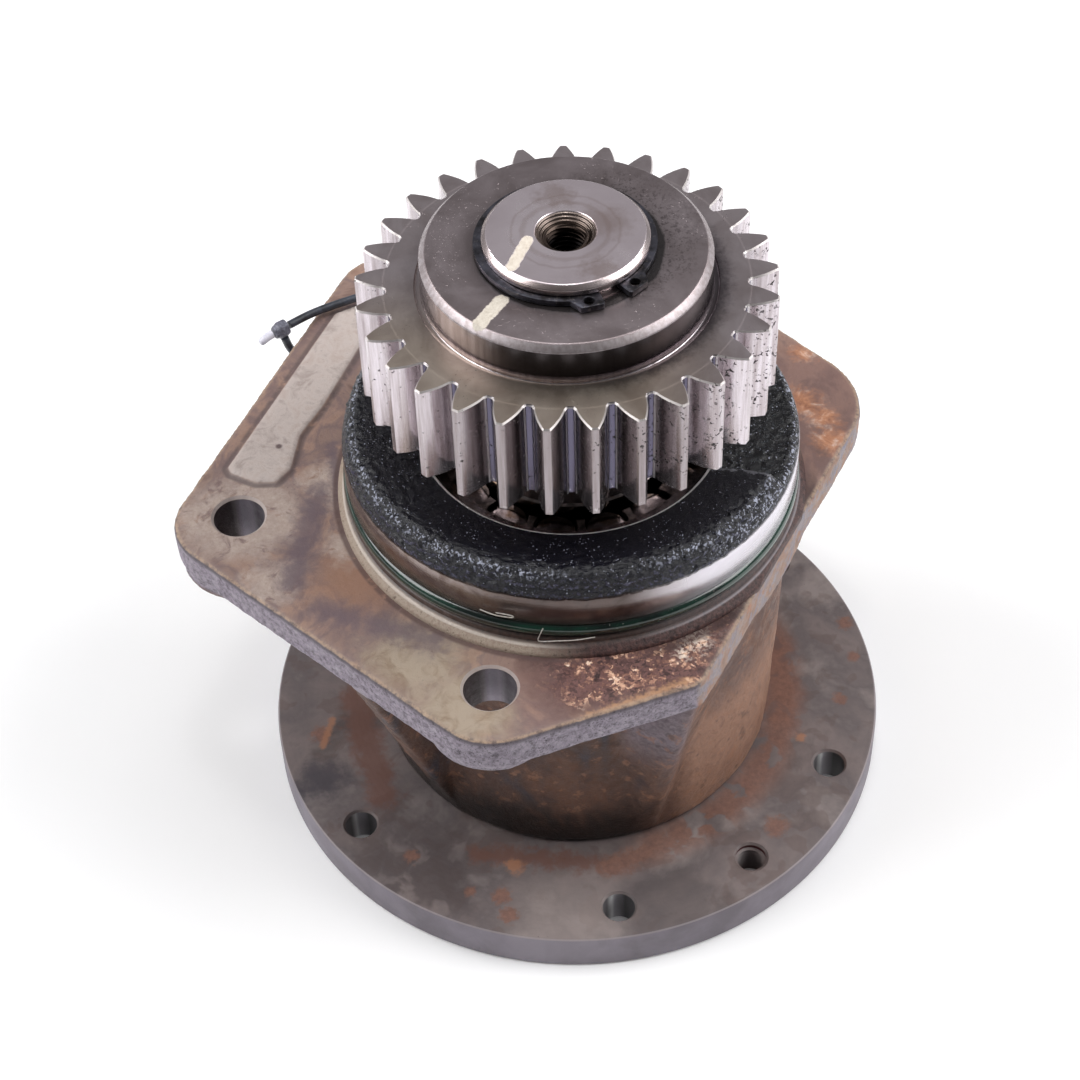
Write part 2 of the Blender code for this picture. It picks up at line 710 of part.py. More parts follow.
def build_window_cage(middle, material):
    """Band on the ball circle with a round window for each ball."""
    cage = ring("lower_cage", [
        (37.3, middle - 8.9),
        (40.2, middle - 8.9),
        (40.2, middle + 8.9),
        (37.3, middle + 8.9),
    ], material)
    windows = []
    for index in range(BALL_COUNT):
        angle = math.radians(360.0 * (index + 0.5) / BALL_COUNT)
        across = Vector((-math.sin(angle), math.cos(angle), 0.0))
        radial = Vector((math.cos(angle), math.sin(angle), 0.0))
        bm = bmesh.new()
        rings = []
        for reach in (30.0, 46.0):
            rings.append([
                bm.verts.new(radial * reach + across * x + Vector((0.0, 0.0, middle + z)))
                for x, z in circle(BALL_RADIUS + BALL_FIT, 12)
            ])
        bm.faces.new(rings[0])
        bm.faces.new(rings[1])
        for i in range(12):
            j = (i + 1) % 12
            bm.faces.new((rings[0][i], rings[0][j], rings[1][j], rings[1][i]))
        bmesh.ops.recalc_face_normals(bm, faces=bm.faces)
        windows.append(bm)
    combine(cage, merge(windows), "DIFFERENCE", "windows")


def internal_circlip(name, seat, bottom, material):
    """Internal snap ring: an open ring with a gap, sitting in its housing groove."""
    reach = seat + 1.6
    inner = seat - 2.6
    start, end = -78.0, 258.0
    outline = arc((0, 0), reach, start, end, 28) + arc((0, 0), inner, end, start, 28)
    return add_object(name, prism(outline, bottom, bottom + 2.7), material)


def build_seal(case_material, spring_material):
    """Radial lip seal in one piece, with its separate garter spring."""
    outside = LOWER_OUTSIDE
    lip = SEAL_JOURNAL_RADIUS + FIT
    ring("shaft_seal", [
        (outside, SEAL_BOTTOM),
        (outside, SEAL_TOP),
        (outside - 2.0, SEAL_TOP),
        (outside - 2.0, SEAL_BOTTOM + 2.2),
        (lip + 3.4, SEAL_BOTTOM + 2.2),
        (lip + 1.6, SEAL_BOTTOM + 5.0),
        (lip + 1.6, SEAL_BOTTOM + 7.6),
        (lip + 0.6, SEAL_BOTTOM + 8.8),
        (lip, SEAL_BOTTOM + 6.4),
        (lip + 0.8, SEAL_BOTTOM),
    ], case_material)
    spring = arc((lip + 1.6 + FIT + 0.8, SEAL_BOTTOM + 6.3), 0.8, 0.0, 288.0, 4)
    ring("seal_garter_spring", spring, spring_material)


def build_o_ring(material):
    section = arc((O_RING_CENTRE_RADIUS, O_RING_Z), O_RING_SECTION, 0.0, 315.0, 7)
    ring("spigot_o_ring", section, material, LARGE_ROUND)


def build_spacer(material):
    low, high = LOWER_TOP + FIT, UPPER_BOTTOM - FIT
    ring("bearing_spacer", [
        (UPPER_BORE + FIT, low),
        (31.0, low),
        (31.0, low + 3.0),
        (26.6, low + 8.0),
        (26.6, high),
        (UPPER_BORE + FIT, high),
    ], material)


# ---------------------------------------------------------------- tag tie


def sweep(path, radius, sides):
    """Round cord along a path of points, closed with flat ends."""
    bm = bmesh.new()
    points = [Vector(point) for point in path]
    rings = []
    reference = Vector((0.0, 0.0, 1.0))
    for index, point in enumerate(points):
        before = points[max(index - 1, 0)]
        after = points[min(index + 1, len(points) - 1)]
        tangent = (after - before).normalized()
        side = tangent.cross(reference)
        if side.length < 0.2:
            side = tangent.cross(Vector((1.0, 0.0, 0.0)))
        side.normalize()
        up = side.cross(tangent).normalized()
        reference = up
        rings.append([
            bm.verts.new(point + side * x + up * y) for x, y in circle(radius, sides)
        ])
    bm.faces.new(rings[0])
    bm.faces.new(rings[-1])
    for ring_a, ring_b in zip(rings, rings[1:]):
        for i in range(sides):
            j = (i + 1) % sides
            bm.faces.new((ring_a[i], ring_a[j], ring_b[j], ring_b[i]))
    return bm


def smooth_path(knots, steps):
    """Catmull-Rom curve through a few knots."""
    points = []
    count = len(knots)
    for index in range(count - 1):
        quad = [Vector(knots[min(max(index + k, 0), count - 1)]) for k in (-1, 0, 1, 2)]
        for step in range(steps):
            t = step / steps
            points.append(0.5 * (
                2 * quad[1] + (quad[2] - quad[0]) * t
                + (2 * quad[0] - 5 * quad[1] + 4 * quad[2] - quad[3]) * t * t
                + (3 * quad[1] - quad[0] - 3 * quad[2] + quad[3]) * t ** 3
            ))
    points.append(Vector(knots[-1]))
    return points


def build_tie(cord_material, end_material):
    hole_x, hole_y, boss_level = BOLT_HOLES[2]
    over = PLATE_TOP + TIE_RADIUS + 1.0
    under = boss_level - TIE_RADIUS - 1.0
    cord = smooth_path([
        (-80.3, 64.4, over + 0.2),
        (-72.5, 70.0, over),
        (-60.0, 74.8, over + 0.8),
        (hole_x - 3.0, hole_y - 2.0, over + 0.6),
        (hole_x, hole_y, PLATE_TOP - 3.0),
        (hole_x, hole_y, boss_level + 2.0),
        (hole_x - 5.0, hole_y - 2.5, under),
        (-66.0, 69.5, under),
        (-78.5, 64.0, under + 1.0),
        (-84.2, 62.2, under + 6.0),
        (-83.6, 61.6, over - 3.8),
    ], 3)
    add_object("tie_cord", sweep(cord, TIE_RADIUS, 6), cord_material)
    head = prism(circle(2.6, 6), 0.0, 4.6)
    direction = Vector((-0.82, -0.57, 0.0)).normalized()
    rotation = Vector((0.0, 0.0, 1.0)).rotation_difference(direction).to_matrix()
    bmesh.ops.rotate(head, matrix=rotation, verts=head.verts)
    bmesh.ops.translate(head, vec=Vector((-80.9, 64.0, over)), verts=head.verts)
    add_object("tie_lock", head, cord_material)
    tail = smooth_path([(-85.2, 61.0, over), (-87.2, 59.4, over - 0.3), (-88.6, 58.0, over - 0.8)], 2)
    add_object("tie_tail", sweep(tail, 1.3, 8), end_material)


def main():
    clear_scene()
    cast = make_material("cast_iron_rusty", (0.16, 0.11, 0.085), 0.75, 0.4)
    steel = make_material("machined_steel", (0.32, 0.29, 0.28), 0.42, 0.9)
    gear_steel = make_material("gear_steel", (0.36, 0.34, 0.35), 0.35, 0.95)
    spring_steel = make_material("spring_steel", (0.03, 0.03, 0.035), 0.35, 0.8)
    bearing_steel = make_material("bearing_steel", (0.55, 0.54, 0.54), 0.2, 1.0)
    cage_steel = make_material("cage_steel", (0.38, 0.33, 0.27), 0.4, 0.9)
    rubber = make_material("green_rubber", (0.02, 0.09, 0.07), 0.4, 0.0)
    black_rubber = make_material("black_rubber", (0.02, 0.02, 0.02), 0.6, 0.0)
    plastic = make_material("black_plastic", (0.03, 0.03, 0.035), 0.5, 0.0)
    white_plastic = make_material("white_plastic", (0.75, 0.74, 0.78), 0.5, 0.0)

    build_housing(cast)
    build_o_ring(rubber)
    build_shaft(steel)
    build_gear(gear_steel)
    build_circlip(spring_steel)
    build_upper_bearing(bearing_steel, bearing_steel, cage_steel)
    build_lower_bearing(bearing_steel, bearing_steel, cage_steel)
    build_spacer(steel)
    internal_circlip("upper_bearing_circlip", UPPER_OUTSIDE, 99.8, spring_steel)
    internal_circlip("lower_bearing_circlip", LOWER_OUTSIDE, 25.3, spring_steel)
    build_seal(black_rubber, bearing_steel)
    build_tie(plastic, white_plastic)


main()
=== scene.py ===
"""Looks for the gear-driven flanged hub: fine meshes, procedural materials, studio and camera.

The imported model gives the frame. Shapes here are written in millimetres about the shaft's axis
(Z up, z = 0 at the drive flange's outer face) and are turned into metres where a mesh is made.
"""

import math

import bmesh
import bpy
import numpy as np
from mathutils import Matrix, Vector, noise


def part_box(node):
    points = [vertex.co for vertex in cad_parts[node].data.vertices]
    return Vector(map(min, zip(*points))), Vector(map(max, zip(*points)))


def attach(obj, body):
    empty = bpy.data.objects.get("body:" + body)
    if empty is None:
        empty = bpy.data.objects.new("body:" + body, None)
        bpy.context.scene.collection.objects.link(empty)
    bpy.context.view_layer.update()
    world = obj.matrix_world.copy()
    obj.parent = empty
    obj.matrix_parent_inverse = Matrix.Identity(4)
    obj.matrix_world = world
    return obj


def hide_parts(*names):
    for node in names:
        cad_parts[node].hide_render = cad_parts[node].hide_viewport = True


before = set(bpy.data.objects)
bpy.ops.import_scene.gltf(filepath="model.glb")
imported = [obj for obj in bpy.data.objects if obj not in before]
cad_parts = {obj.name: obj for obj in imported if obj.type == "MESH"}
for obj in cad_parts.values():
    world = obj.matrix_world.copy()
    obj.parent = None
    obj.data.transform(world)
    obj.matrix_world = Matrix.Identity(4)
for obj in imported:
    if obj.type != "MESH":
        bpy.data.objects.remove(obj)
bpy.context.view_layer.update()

MM = 0.001


def top_of(node):
    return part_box(node)[1].z / MM


def foot_of(node):
    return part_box(node)[0].z / MM


def reach_of(node):
    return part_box(node)[1].x / MM


# ---------------------------------------------------------------- driving dimensions

DISC_RADIUS = reach_of("output_shaft")
DISC_THICKNESS = 12.4
SHAFT_TOP = top_of("output_shaft")
SHAFT_END_RADIUS = 21.3
CENTRE_MOUTH_RADIUS = 7.8
HOLE_CIRCLE = 80.0
CLEAR_HOLE_RADIUS = 4.6
JACK_HOLE_RADIUS = 4.2
FIRST_HOLE_ANGLE = 36.5
JACK_HOLE_ANGLES = (126.5, 306.5)

MODULE = 3.5
TEETH = 29
PRESSURE_ANGLE = math.radians(25.0)
TOOTH_PHASE = math.radians(89.05)
TIP_RADIUS = MODULE * (TEETH + 2) / 2
ROOT_RADIUS = MODULE * (TEETH - 2.5) / 2
HUB_TOP = top_of("drive_gear")
GEAR_TOP = HUB_TOP - 11.0
GEAR_BOTTOM = GEAR_TOP - 30.5
HUB_RADIUS = 37.3

BODY_BOTTOM = foot_of("bearing_housing")
SPIGOT_TOP = top_of("bearing_housing")
PLATE_TOP = 104.1
PLATE_BOTTOM = 93.4
BODY_BOTTOM_RADIUS = 57.5
BODY_TOP_RADIUS = 60.8
SPIGOT_RADIUS = 61.8
SHOULDER_RADIUS = 64.4
ROUGH_FROM = 124.1
LIP_TOP = 126.0
LIP_RADIUS = 40.5
POCKET_ANGLES = (-27.0, 62.0)

# Flange edges: direction of the outward normal, distance from the axis, radius of the next corner
PLATE_EDGES = (
    (155.3, 96.3, 17.4),
    (227.4, 87.1, 17.9),
    (288.3, 80.3, 8.0),
    (331.4, 62.8, 24.0),
    (401.3, 85.8, 18.0),
    (439.6, 86.8, 18.0),
)
PAD_EDGE_ANGLE = PLATE_EDGES[0][0]
FLAT_ANGLE, FLAT_REACH, _ = PLATE_EDGES[3]
# Bolt holes: x, y and level of the boss face underneath
BOLT_HOLES = ((-91.3, -9.4, 87.6), (-23.5, -73.1, 90.3), (-48.8, 79.7, 91.9), (36.1, 67.8, 90.3))
BOLT_HOLE_RADIUS = 7.0
BOSS_RADIUS = 17.0

CIRCLIP_BOTTOM = foot_of("gear_circlip")
CIRCLIP_TOP = top_of("gear_circlip")
CIRCLIP_GAP_ANGLE = -61.5
CIRCLIP_INNER_RADIUS = 19.8
LUG_HOLE_RADIUS = 1.35
LUG_HOLE_CIRCLE = 23.3
LUG_HOLE_ANGLE = 16.5

CLEARANCE = 0.3
CASTING_VOXEL = 0.9
SPIGOT_SEGMENTS = 960
THREAD_PITCH = 1.5
CENTRE_THREAD_RADIUS = 5.7
SEAL_SEAT_RADIUS = 35.0
LOWER_SEAT_RADIUS = 27.2
UPPER_SEAT_RADIUS = 22.2
CIRCLIP_GROOVE_RADIUS = 19.4
GEAR_NOSE_RADIUS = 27.0
ROLLER_RADIUS = 5.5
ROLLERS = 15
BALLS = 10
CORD_RADIUS = 1.2
STRAND_RADIUS = 0.16


# ---------------------------------------------------------------- mesh tools


def polar(radius, degrees):
    angle = math.radians(degrees)
    return radius * math.cos(angle), radius * math.sin(angle)


def circle(radius, segments, centre=(0.0, 0.0)):
    points = []
    for i in range(segments):
        x, y = polar(radius, 360.0 * i / segments)
        points.append((centre[0] + x, centre[1] + y))
    return points


def arc(centre, radius, start, end, steps):
    points = []
    for i in range(steps + 1):
        x, y = polar(radius, start + (end - start) * i / steps)
        points.append((centre[0] + x, centre[1] + y))
    return points


def rounded(profile, steps=3):
    """Closed profile of (radius, z, corner) with each corner eased over its own length."""
    points = []
    count = len(profile)
    for i, (x, z, corner) in enumerate(profile):
        here = Vector((x, z))
        if corner <= 0.0:
            points.append((x, z))
            continue
        before = Vector(profile[i - 1][:2]) - here
        after = Vector(profile[(i + 1) % count][:2]) - here
        reach = min(corner, before.length * 0.45, after.length * 0.45)
        start = here + before.normalized() * reach
        end = here + after.normalized() * reach
        for step in range(steps + 1):
            t = step / steps
            point = start * (1 - t) ** 2 + here * 2 * t * (1 - t) + end * t * t
            points.append((point.x, point.y))
    return points


def lathe(profile, segments):
    """Spin a closed (radius, z) profile about Z; radius 0 closes on the axis."""
    bm = bmesh.new()
    rings = []
    for radius, z in profile:
        if radius < 1e-6:
            rings.append([bm.verts.new((0.0, 0.0, z))])
            continue
        ring = [bm.verts.new((*polar(radius, 360.0 * i / segments), z)) for i in range(segments)]
        rings.append(ring)
    for ring, following in zip(rings, rings[1:] + rings[:1]):
        for i in range(segments):
            corners = []
            for vert in (
                ring[i % len(ring)],
                ring[(i + 1) % len(ring)],
                following[(i + 1) % len(following)],
                following[i % len(following)],
            ):
                if vert not in corners:
                    corners.append(vert)
            if len(corners) > 2:
                bm.faces.new(corners)
    return bm


def stack(layers):
    """Closed solid through outlines of equal point counts: a list of (outline, z)."""
    bm = bmesh.new()
    rings = [[bm.verts.new((x, y, z)) for x, y in outline] for outline, z in layers]
    bm.faces.new(rings[0])
    bm.faces.new(rings[-1])
    for low, high in zip(rings, rings[1:]):
        for i in range(len(low)):
            j = (i + 1) % len(low)
            bm.faces.new((low[i], low[j], high[j], high[i]))
    return bm


def prism(outline, bottom, top):
    return stack([(outline, bottom), (outline, top)])


def sweep(path, radius, sides):
    """Round bar along a path, closed with flat ends; radius may follow the path."""
    bm = bmesh.new()
    points = [Vector(point) for point in path]
    radii = radius if isinstance(radius, list) else [radius] * len(points)
    rings = []
    reference = Vector((0.0, 0.0, 1.0))
    for index, point in enumerate(points):
        before = points[max(index - 1, 0)]
        after = points[min(index + 1, len(points) - 1)]
        tangent = (after - before).normalized()
        side = tangent.cross(reference)
        if side.length < 0.2:
            side = tangent.cross(Vector((1.0, 0.0, 0.0)))
        side.normalize()
        up = side.cross(tangent).normalized()
        reference = up
        section = circle(radii[index], sides)
        rings.append([bm.verts.new(point + side * x + up * y) for x, y in section])
    bm.faces.new(rings[0])
    bm.faces.new(rings[-1])
    for ring_a, ring_b in zip(rings, rings[1:]):
        for i in range(sides):
            j = (i + 1) % sides
            bm.faces.new((ring_a[i], ring_a[j], ring_b[j], ring_b[i]))
    return bm


def smooth_path(knots, steps):
    """Catmull-Rom curve through a few knots."""
    points = []
    count = len(knots)
    for index in range(count - 1):
        quad = [Vector(knots[min(max(index + k, 0), count - 1)]) for k in (-1, 0, 1, 2)]
        for step in range(steps):
            t = step / steps
            points.append(0.5 * (
                2 * quad[1] + (quad[2] - quad[0]) * t
                + (2 * quad[0] - 5 * quad[1] + 4 * quad[2] - quad[3]) * t * t
                + (3 * quad[1] - quad[0] - 3 * quad[2] + quad[3]) * t ** 3
            ))
    points.append(Vector(knots[-1]))
    return points


def gather(parts):
    whole = parts[0]
    for part in parts[1:]:
        mesh = bpy.data.meshes.new("part")
        part.to_mesh(mesh)
        part.free()
        whole.from_mesh(mesh)
        bpy.data.meshes.remove(mesh)
    return whole


def make_object(name, bm, crease=35.0):
    """Object in metres from a bmesh in millimetres."""
    bmesh.ops.remove_doubles(bm, verts=bm.verts, dist=0.0005)
    bmesh.ops.recalc_face_normals(bm, faces=bm.faces)
    bmesh.ops.scale(bm, vec=Vector((MM, MM, MM)), verts=bm.verts)
    mesh = bpy.data.meshes.new(name)
    bm.to_mesh(mesh)
    bm.free()
    mesh.shade_smooth()
    mesh.set_sharp_from_angle(angle=math.radians(crease))
    obj = bpy.data.objects.new(name, mesh)
    bpy.context.scene.collection.objects.link(obj)
    return obj


def bake_modifiers(obj, crease=35.0):
    graph = bpy.context.evaluated_depsgraph_get()
    mesh = bpy.data.meshes.new_from_object(obj.evaluated_get(graph))
    obj.modifiers.clear()
    old = obj.data
    obj.data = mesh
    bpy.data.meshes.remove(old)
    mesh.shade_smooth()
    mesh.set_sharp_from_angle(angle=math.radians(crease))


def cut(obj, tool_bm, operation="DIFFERENCE", solver="EXACT", crease=35.0):
    """Boolean with a tool that is thrown away afterwards."""
    tool = make_object(obj.name + "_tool", tool_bm)
    modifier = obj.modifiers.new("cut", "BOOLEAN")
    modifier.operation = operation
    modifier.solver = solver
    modifier.object = tool
    bake_modifiers(obj, crease)
    mesh = tool.data
    bpy.data.objects.remove(tool, do_unlink=True)
    bpy.data.meshes.remove(mesh)


def read_points(obj):
    points = np.zeros(len(obj.data.vertices) * 3)
    obj.data.vertices.foreach_get("co", points)
    return points.reshape(-1, 3) / MM


def write_points(obj, points):
    obj.data.vertices.foreach_set("co", (points * MM).ravel())
    obj.data.update()


def point_normals(obj):
    normals = np.zeros(len(obj.data.vertices) * 3)
    obj.data.vertices.foreach_get("normal", normals)
    return normals.reshape(-1, 3)


def grain(points, size, octaves=3, seed=0.0):
    """Fractal noise about zero at each point; size is the coarsest grain in millimetres."""
    shift = Vector((seed, seed * 1.7, -seed))
    values = [
        noise.fractal(Vector(point) / size + shift, 0.9, 2.1, octaves)
        for point in points
    ]
    return np.array(values)


def ease(value, low, high):
    t = np.clip((value - low) / (high - low), 0.0, 1.0)
    return t * t * (3.0 - 2.0 * t)


def place(obj, body, slot, material, *nodes):
    """Give a finished piece its material and body, and hide the CAD nodes that it stands for; slot is not
    used.
    """
    obj.data.materials.clear()
    obj.data.materials.append(material)
    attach(obj, body)
    if nodes:
        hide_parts(*nodes)
    return obj


# ---------------------------------------------------------------- material tools


def linear(*values):
    """Linear colour from three display values of 0 to 255; four values are linear already."""
    if len(values) == 4:
        return values
    shares = [value / 255.0 for value in values]
    return (*(v / 12.92 if v <= 0.04045 else ((v + 0.055) / 1.055) ** 2.4 for v in shares), 1.0)


class Look:
    """One material's nodes, written as expressions on the piece's own millimetre coordinates."""

    def __init__(self, name):
        self.material = bpy.data.materials.new(name)
        self.material.use_nodes = True
        self.nodes = self.material.node_tree.nodes
        self.links = self.material.node_tree.links
        self.shader = self.nodes["Principled BSDF"]
        scale = self.nodes.new("ShaderNodeVectorMath")
        scale.operation = "SCALE"
        scale.inputs["Scale"].default_value = 1.0 / MM
        where = self.nodes.new("ShaderNodeTexCoord")
        self.links.new(where.outputs["Object"], scale.inputs[0])
        self.point = scale.outputs[0]
        split = self.nodes.new("ShaderNodeSeparateXYZ")
        self.links.new(self.point, split.inputs[0])
        self.x, self.y, self.z = split.outputs
        geometry = self.nodes.new("ShaderNodeNewGeometry")
        facing = self.nodes.new("ShaderNodeSeparateXYZ")
        self.links.new(geometry.outputs["Normal"], facing.inputs[0])
        self.up = facing.outputs[2]
        self.sideways = facing.outputs[0]
        flat = self.vector("MULTIPLY", self.point, (1.0, 1.0, 0.0))
        self.radius = self.vector("LENGTH", flat)
        self.turn = self.math("MULTIPLY", self.math("ARCTAN2", self.y, self.x), math.degrees(1.0))

    def plug(self, socket, value):
        if isinstance(value, bpy.types.NodeSocket):
            self.links.new(value, socket)
        else:
            socket.default_value = value

    def math(self, operation, a, b=0.0, clamp=False):
        node = self.nodes.new("ShaderNodeMath")
        node.operation = operation
        node.use_clamp = clamp
        self.plug(node.inputs[0], a)
        self.plug(node.inputs[1], b)
        return node.outputs[0]

    def times(self, a, b):
        return self.math("MULTIPLY", a, b)

    def total(self, *values):
        result = values[0]
        for value in values[1:]:
            result = self.math("ADD", result, value)
        return result

    def both(self, *masks):
        result = masks[0]
        for mask in masks[1:]:
            result = self.math("MULTIPLY", result, mask, clamp=True)
        return result

    def either(self, *masks):
        result = masks[0]
        for mask in masks[1:]:
            result = self.math("MAXIMUM", result, mask)
        return result

    def vector(self, operation, a, b=(0.0, 0.0, 0.0), scale=1.0):
        node = self.nodes.new("ShaderNodeVectorMath")
        node.operation = operation
        self.plug(node.inputs[0], a)
        if operation == "SCALE":
            self.plug(node.inputs["Scale"], scale)
        else:
            self.plug(node.inputs[1], b)
        number = operation in ("DOT_PRODUCT", "DISTANCE", "LENGTH")
        return node.outputs["Value"] if number else node.outputs["Vector"]

    def attribute(self, name):
        node = self.nodes.new("ShaderNodeAttribute")
        node.attribute_name = name
        return node.outputs["Fac"]

    def noise(self, size, detail=4.0, rough=0.6, stretch=(1.0, 1.0, 1.0), seed=0.0, bend=0.0):
        """Noise about 0.5 whose coarsest grain is size millimetres."""
        node = self.nodes.new("ShaderNodeTexNoise")
        node.noise_dimensions = "4D"
        self.links.new(self.vector("MULTIPLY", self.point, stretch), node.inputs["Vector"])
        node.inputs["W"].default_value = seed
        node.inputs["Scale"].default_value = 1.0 / size
        node.inputs["Detail"].default_value = detail
        node.inputs["Roughness"].default_value = rough
        node.inputs["Distortion"].default_value = bend
        return node.outputs[0]

    def shards(self, size, seed=0.0):
        """A random value from 0 to 1 in each of many irregular grains of this size."""
        warp = self.nodes.new("ShaderNodeTexNoise")
        self.links.new(self.point, warp.inputs["Vector"])
        warp.inputs["Scale"].default_value = 1.3 / size
        shift = self.vector("SCALE", warp.outputs["Color"], scale=size * 1.6)
        node = self.nodes.new("ShaderNodeTexVoronoi")
        node.voronoi_dimensions = "4D"
        self.links.new(self.vector("ADD", self.point, shift), node.inputs["Vector"])
        node.inputs["W"].default_value = seed
        node.inputs["Scale"].default_value = 1.0 / size
        split = self.nodes.new("ShaderNodeSeparateColor")
        self.links.new(node.outputs["Color"], split.inputs[0])
        return split.outputs[0]

    def between(self, value, low, high):
        """0 at low, 1 at high, eased; low may be the larger one."""
        node = self.nodes.new("ShaderNodeMapRange")
        node.interpolation_type = "SMOOTHSTEP"
        flip = low > high
        self.plug(node.inputs["Value"], value)
        node.inputs["From Min"].default_value = min(low, high)
        node.inputs["From Max"].default_value = max(low, high)
        node.inputs["To Min"].default_value = 1.0 if flip else 0.0
        node.inputs["To Max"].default_value = 0.0 if flip else 1.0
        return node.outputs["Result"]

    def band(self, value, low, high, soft):
        return self.both(self.between(value, low - soft, low + soft),
                         self.between(value, high + soft, high - soft))

    def layer(self, mask, under, over):
        """One colour over another; a plain colour is three display values."""
        node = self.nodes.new("ShaderNodeMix")
        node.data_type = "RGBA"
        self.plug(node.inputs["Factor"], mask)
        self.plug(node.inputs[6], under)
        self.plug(node.inputs[7], linear(*over) if isinstance(over, tuple) else over)
        return node.outputs[2]

    def tint(self, under, over, *masks):
        """Lay a colour over another where all the masks agree."""
        return self.layer(self.both(*masks), under, over)

    def mix(self, mask, under, over):
        node = self.nodes.new("ShaderNodeMix")
        node.data_type = "FLOAT"
        self.plug(node.inputs[0], mask)
        self.plug(node.inputs[2], under)
        self.plug(node.inputs[3], over)
        return node.outputs[0]

    def ramp(self, value, *stops):
        """Colour ramp; each stop is a position and three display values."""
        node = self.nodes.new("ShaderNodeValToRGB")
        self.plug(node.inputs[0], value)
        elements = node.color_ramp.elements
        for element, stop in zip(elements, (stops[0], stops[-1])):
            element.position, element.color = stop[0], linear(*stop[1:])
        for position, *colour in stops[1:-1]:
            elements.new(position).color = linear(*colour)
        return node.outputs[0]

    def fray(self, distance, size, amount, seed):
        wobble = self.math("SUBTRACT", self.noise(size, seed=seed), 0.5)
        return self.math("ADD", distance, self.math("MULTIPLY", wobble, amount * 2.0))

    def spot(self, x, y, radius, soft, warp=0.0):
        """1 within radius of a place in plan, fading over soft; warp (mm) frays its edge."""
        flat = self.vector("MULTIPLY", self.point, (1.0, 1.0, 0.0))
        distance = self.vector("DISTANCE", flat, (x, y, 0.0))
        if warp:
            distance = self.fray(distance, max(radius * 0.6, 1.5), warp, x + y)
        return self.between(distance, radius + soft, radius - soft)

    def spots(self, *places):
        return self.either(*(self.spot(*place) for place in places))

    def stroke(self, start, end, half_width, soft, warp=0.0):
        """1 within half_width of a straight line in space, with round ends."""
        run = Vector(end) - Vector(start)
        unit = tuple(run.normalized())
        offset = self.vector("SUBTRACT", self.point, start)
        along = self.math("MAXIMUM", self.vector("DOT_PRODUCT", offset, unit), 0.0)
        along = self.math("MINIMUM", along, run.length)
        foot = self.vector("SCALE", unit, scale=along)
        distance = self.vector("DISTANCE", offset, foot)
        if warp:
            distance = self.fray(distance, max(half_width * 0.8, 1.2), warp, start[0])
        return self.between(distance, half_width + soft, half_width - soft)

    def finish(self, colour, roughness, metallic, height=None, depth=0.1, coat=None):
        """Plug the results in; height is relief in units of depth millimetres."""
        self.plug(self.shader.inputs["Base Color"], colour)
        self.plug(self.shader.inputs["Roughness"], roughness)
        self.plug(self.shader.inputs["Metallic"], metallic)
        if height is not None:
            bump = self.nodes.new("ShaderNodeBump")
            bump.inputs["Strength"].default_value = 1.0
            bump.inputs["Distance"].default_value = depth * MM
            self.links.new(height, bump.inputs["Height"])
            self.links.new(bump.outputs[0], self.shader.inputs["Normal"])
        if coat is not None:
            self.plug(self.shader.inputs["Coat Weight"], coat)
            self.shader.inputs["Coat Roughness"].default_value = 0.12
        return self.material


# ---------------------------------------------------------------- materials


def rust_crystals(look):
    """Crusted rust in small grains, a few of them with bright faces."""
    coarse = look.times(look.shards(3, 1), 0.3)
    small = look.times(look.shards(0.9, 2), 0.26)
    cloud = look.times(look.noise(7, 5, 0.6, seed=31, bend=1), 0.72)
    return look.ramp(look.total(coarse, small, cloud), (0.38, 50, 33, 32), (0.5, 80, 54, 52),
            (0.6, 112, 80, 76), (0.7, 92, 62, 56), (0.79, 152, 110, 94), (0.88, 214, 172, 144),
            (0.97, 246, 230, 214))


